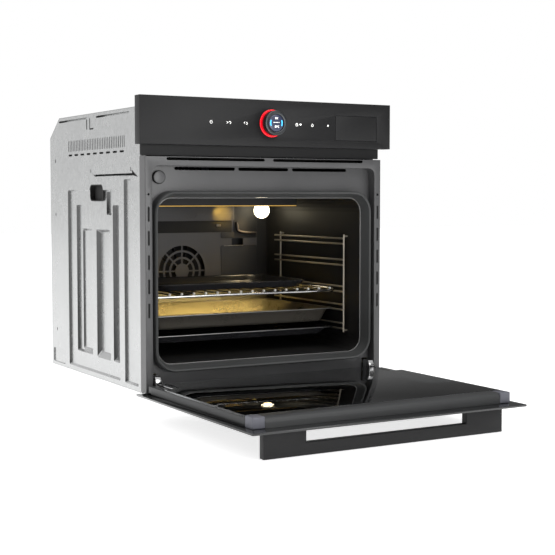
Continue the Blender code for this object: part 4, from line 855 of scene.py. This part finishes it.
# closed-door heights in millimetres; window is (half width, low, high)
doorPrint = {"half": 268, "low": 52, "high": 432, "window": (205, 92, 395), "y": -284.6, "thick": 0.25,
             "corner": 4 * mm, "windowCorner": 26 * mm, "over": 2 * mm}
(yFar, zTop), (yNear, zLow) = onDoor([(doorPrint["y"], doorPrint["high"]),
                                      (doorPrint["y"] + doorPrint["thick"], doorPrint["low"])])
windowHalf, windowLow, windowHigh = doorPrint["window"]
(wFar, _), (wNear, _) = onDoor([(0, windowHigh), (0, windowLow)])
border = block((-doorPrint["half"] * mm, yFar, zTop), (doorPrint["half"] * mm, yNear, zLow), "z",
               doorPrint["corner"])
printPiece = keep("panePrint", border, "printedGlass", "door")
carve(printPiece, [block((-windowHalf * mm, wFar, zTop - doorPrint["over"]),
                         (windowHalf * mm, wNear, zLow + doorPrint["over"]), "z", doorPrint["windowCorner"])])
printPiece.data.materials.append(materials["printedGlass"])

for label in ("Left", "Right"):
    low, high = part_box("door_cap_" + label.lower())
    bm = block(low, high, "x", 2.2 * mm, 1.2 * mm, 4)
    keep("doorCap" + label, bm, "violetGreyMoulding", "door", ("door_cap_" + label.lower(),))
keep("terminalBlock", copyOf("terminal_block", None, 0.8 * mm), "blackMoulding", "oven",
     ("terminal_block",), outward=False)
print("door trim ready")


# floor, light and camera
studioFloor = {"below": 1.2 * mm, "half": 12, "paper": "#f2f2f2", "glow": 0.72}
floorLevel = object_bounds()[0][2] - studioFloor["below"]
bm = bmesh.new()
bmesh.ops.create_grid(bm, x_segments=1, y_segments=1, size=studioFloor["half"],
                      matrix=Matrix.Translation((0, 0, floorLevel)))
mesh = bpy.data.meshes.new("studioFloor")
bm.to_mesh(mesh)
bm.free()
floor = bpy.data.objects.new("studioFloor", mesh)
bpy.context.scene.collection.objects.link(floor)
# uncoated white paper with a glow of its own, so that it stays pale
paper = bpy.data.materials.new("whitePaper")
paper.use_nodes = True
paperShader = paper.node_tree.nodes["Principled BSDF"]
paperShader.inputs["Base Color"].default_value = linear(studioFloor["paper"])
paperShader.inputs["Roughness"].default_value = 0.95
paperShader.inputs["Specular IOR Level"].default_value = 0.1
paperShader.inputs["Emission Color"].default_value = linear("#ffffff")
paperShader.inputs["Emission Strength"].default_value = studioFloor["glow"]
mesh.materials.append(paper)

# a studio that is bright behind on the left and above, in front of a plain white backdrop
world = bpy.data.worlds.new("softStudio")
world.use_nodes = True
bpy.context.scene.world = world
tree = world.node_tree
tree.nodes.clear()
place = addNode(tree, "ShaderNodeTexCoord", {}, {})
axes = addNode(tree, "ShaderNodeSeparateXYZ", {}, {"Vector": place.outputs["Generated"]})
bright = addNode(tree, "ShaderNodeVectorMath", {"operation": "DOT_PRODUCT"},
                 {0: place.outputs["Generated"], 1: (-0.6, 0.8, 0.0)})
leftSide = addNode(tree, "ShaderNodeMapRange", {"interpolation_type": "SMOOTHSTEP"},
                   {"Value": bright.outputs["Value"], "From Min": 0.2, "From Max": 0.95,
                    "To Min": 0.1, "To Max": 0.78})
above = addNode(tree, "ShaderNodeMapRange", {"interpolation_type": "SMOOTHSTEP"},
                {"Value": axes.outputs["Z"], "From Min": 0.25, "From Max": 0.9, "To Min": 0.0, "To Max": 0.6})
total = addNode(tree, "ShaderNodeMath", {"operation": "ADD"}, {0: leftSide.outputs[0], 1: above.outputs[0]})
soft = addNode(tree, "ShaderNodeBackground", {}, {"Color": (1, 1, 1, 1), "Strength": total.outputs[0]})
plain = addNode(tree, "ShaderNodeBackground", {}, {"Color": (1, 1, 1, 1), "Strength": 1.0})
path = addNode(tree, "ShaderNodeLightPath", {}, {})
pick = addNode(tree, "ShaderNodeMixShader", {}, {"Fac": path.outputs["Is Camera Ray"]})
tree.links.new(soft.outputs[0], pick.inputs[1])
tree.links.new(plain.outputs[0], pick.inputs[2])
addNode(tree, "ShaderNodeOutputWorld", {}, {"Surface": pick.outputs[0]})


def light(name, kind, place, aim, power, size, colour):
    # places are in metres, power in watts
    lampData = bpy.data.lights.new(name, kind)
    lampData.energy = power
    lampData.color = linear(colour)[:3]
    if kind == "AREA":
        lampData.shape = "DISK"
        lampData.size = size
    else:
        lampData.shadow_soft_size = size
    made = bpy.data.objects.new(name, lampData)
    made.location = place
    made.rotation_euler = (Vector(aim) - Vector(place)).to_track_quat("-Z", "Y").to_euler()
    bpy.context.scene.collection.objects.link(made)
    return made


# kind, place, aim, power, size, colour: two softboxes and a low fill, the lamp's own light, and two hidden
# ones where it pools, on the rear wall and in the deep tray
lights = {
    "frontSoftbox": ("AREA", (0.9, -2.6, 2.2), (0, -0.2, 0.3), 24, 1.6, "#ffffff"),
    "leftSoftbox": ("AREA", (-2.4, 0.9, 1.5), (-0.2, 0, 0.3), 10, 1.8, "#ffffff"),
    "ovenLamp": ("SPOT", (lamp["x"], lamp["y"] - 4 * mm, lamp["low"] - 7 * mm), (-0.12, 0.10, 0.20), 0.18,
                 0.012, "#ffe0a8"),
    "rearGlow": ("SPOT", (0.106, 0.085, 0.366), (0.108, 0.142, 0.352), 0.5, 0.006, "#ffcc58"),
    "trayGlow": ("AREA", (0.03, -0.03, 0.178), (0.03, 0.12, 0.120), 0.75, 0.12, "#ffdc80"),
    "lowFill": ("AREA", (0.35, -2.5, 0.55), (0, -0.2, 0.22), 11, 1.0, "#ffffff"),
}
lit = {lightName: light(lightName, *spec) for lightName, spec in lights.items()}
for lightName, cone, blur in (("ovenLamp", 150, 0.8), ("rearGlow", 62, 0.9)):
    lit[lightName].data.spot_size = math.radians(cone)
    lit[lightName].data.spot_blend = blur
lit["trayGlow"].data.spread = math.radians(48)
lit["trayGlow"].scale = (3.2, 0.5, 1)

view = {"lens": 80.56, "sensor": 36, "place": (-1.2802, -2.5427, 0.3950), "tilt": 86.287, "turn": -29.885}
cameraData = bpy.data.cameras.new("viewCamera")
cameraData.lens = view["lens"]
cameraData.sensor_width = view["sensor"]
camera = bpy.data.objects.new("viewCamera", cameraData)
camera.location = view["place"]
camera.rotation_euler = (math.radians(view["tilt"]), 0, math.radians(view["turn"]))
bpy.context.scene.collection.objects.link(camera)
bpy.context.scene.camera = camera
bpy.context.scene.view_settings.view_transform = "Standard"
print("studio ready")
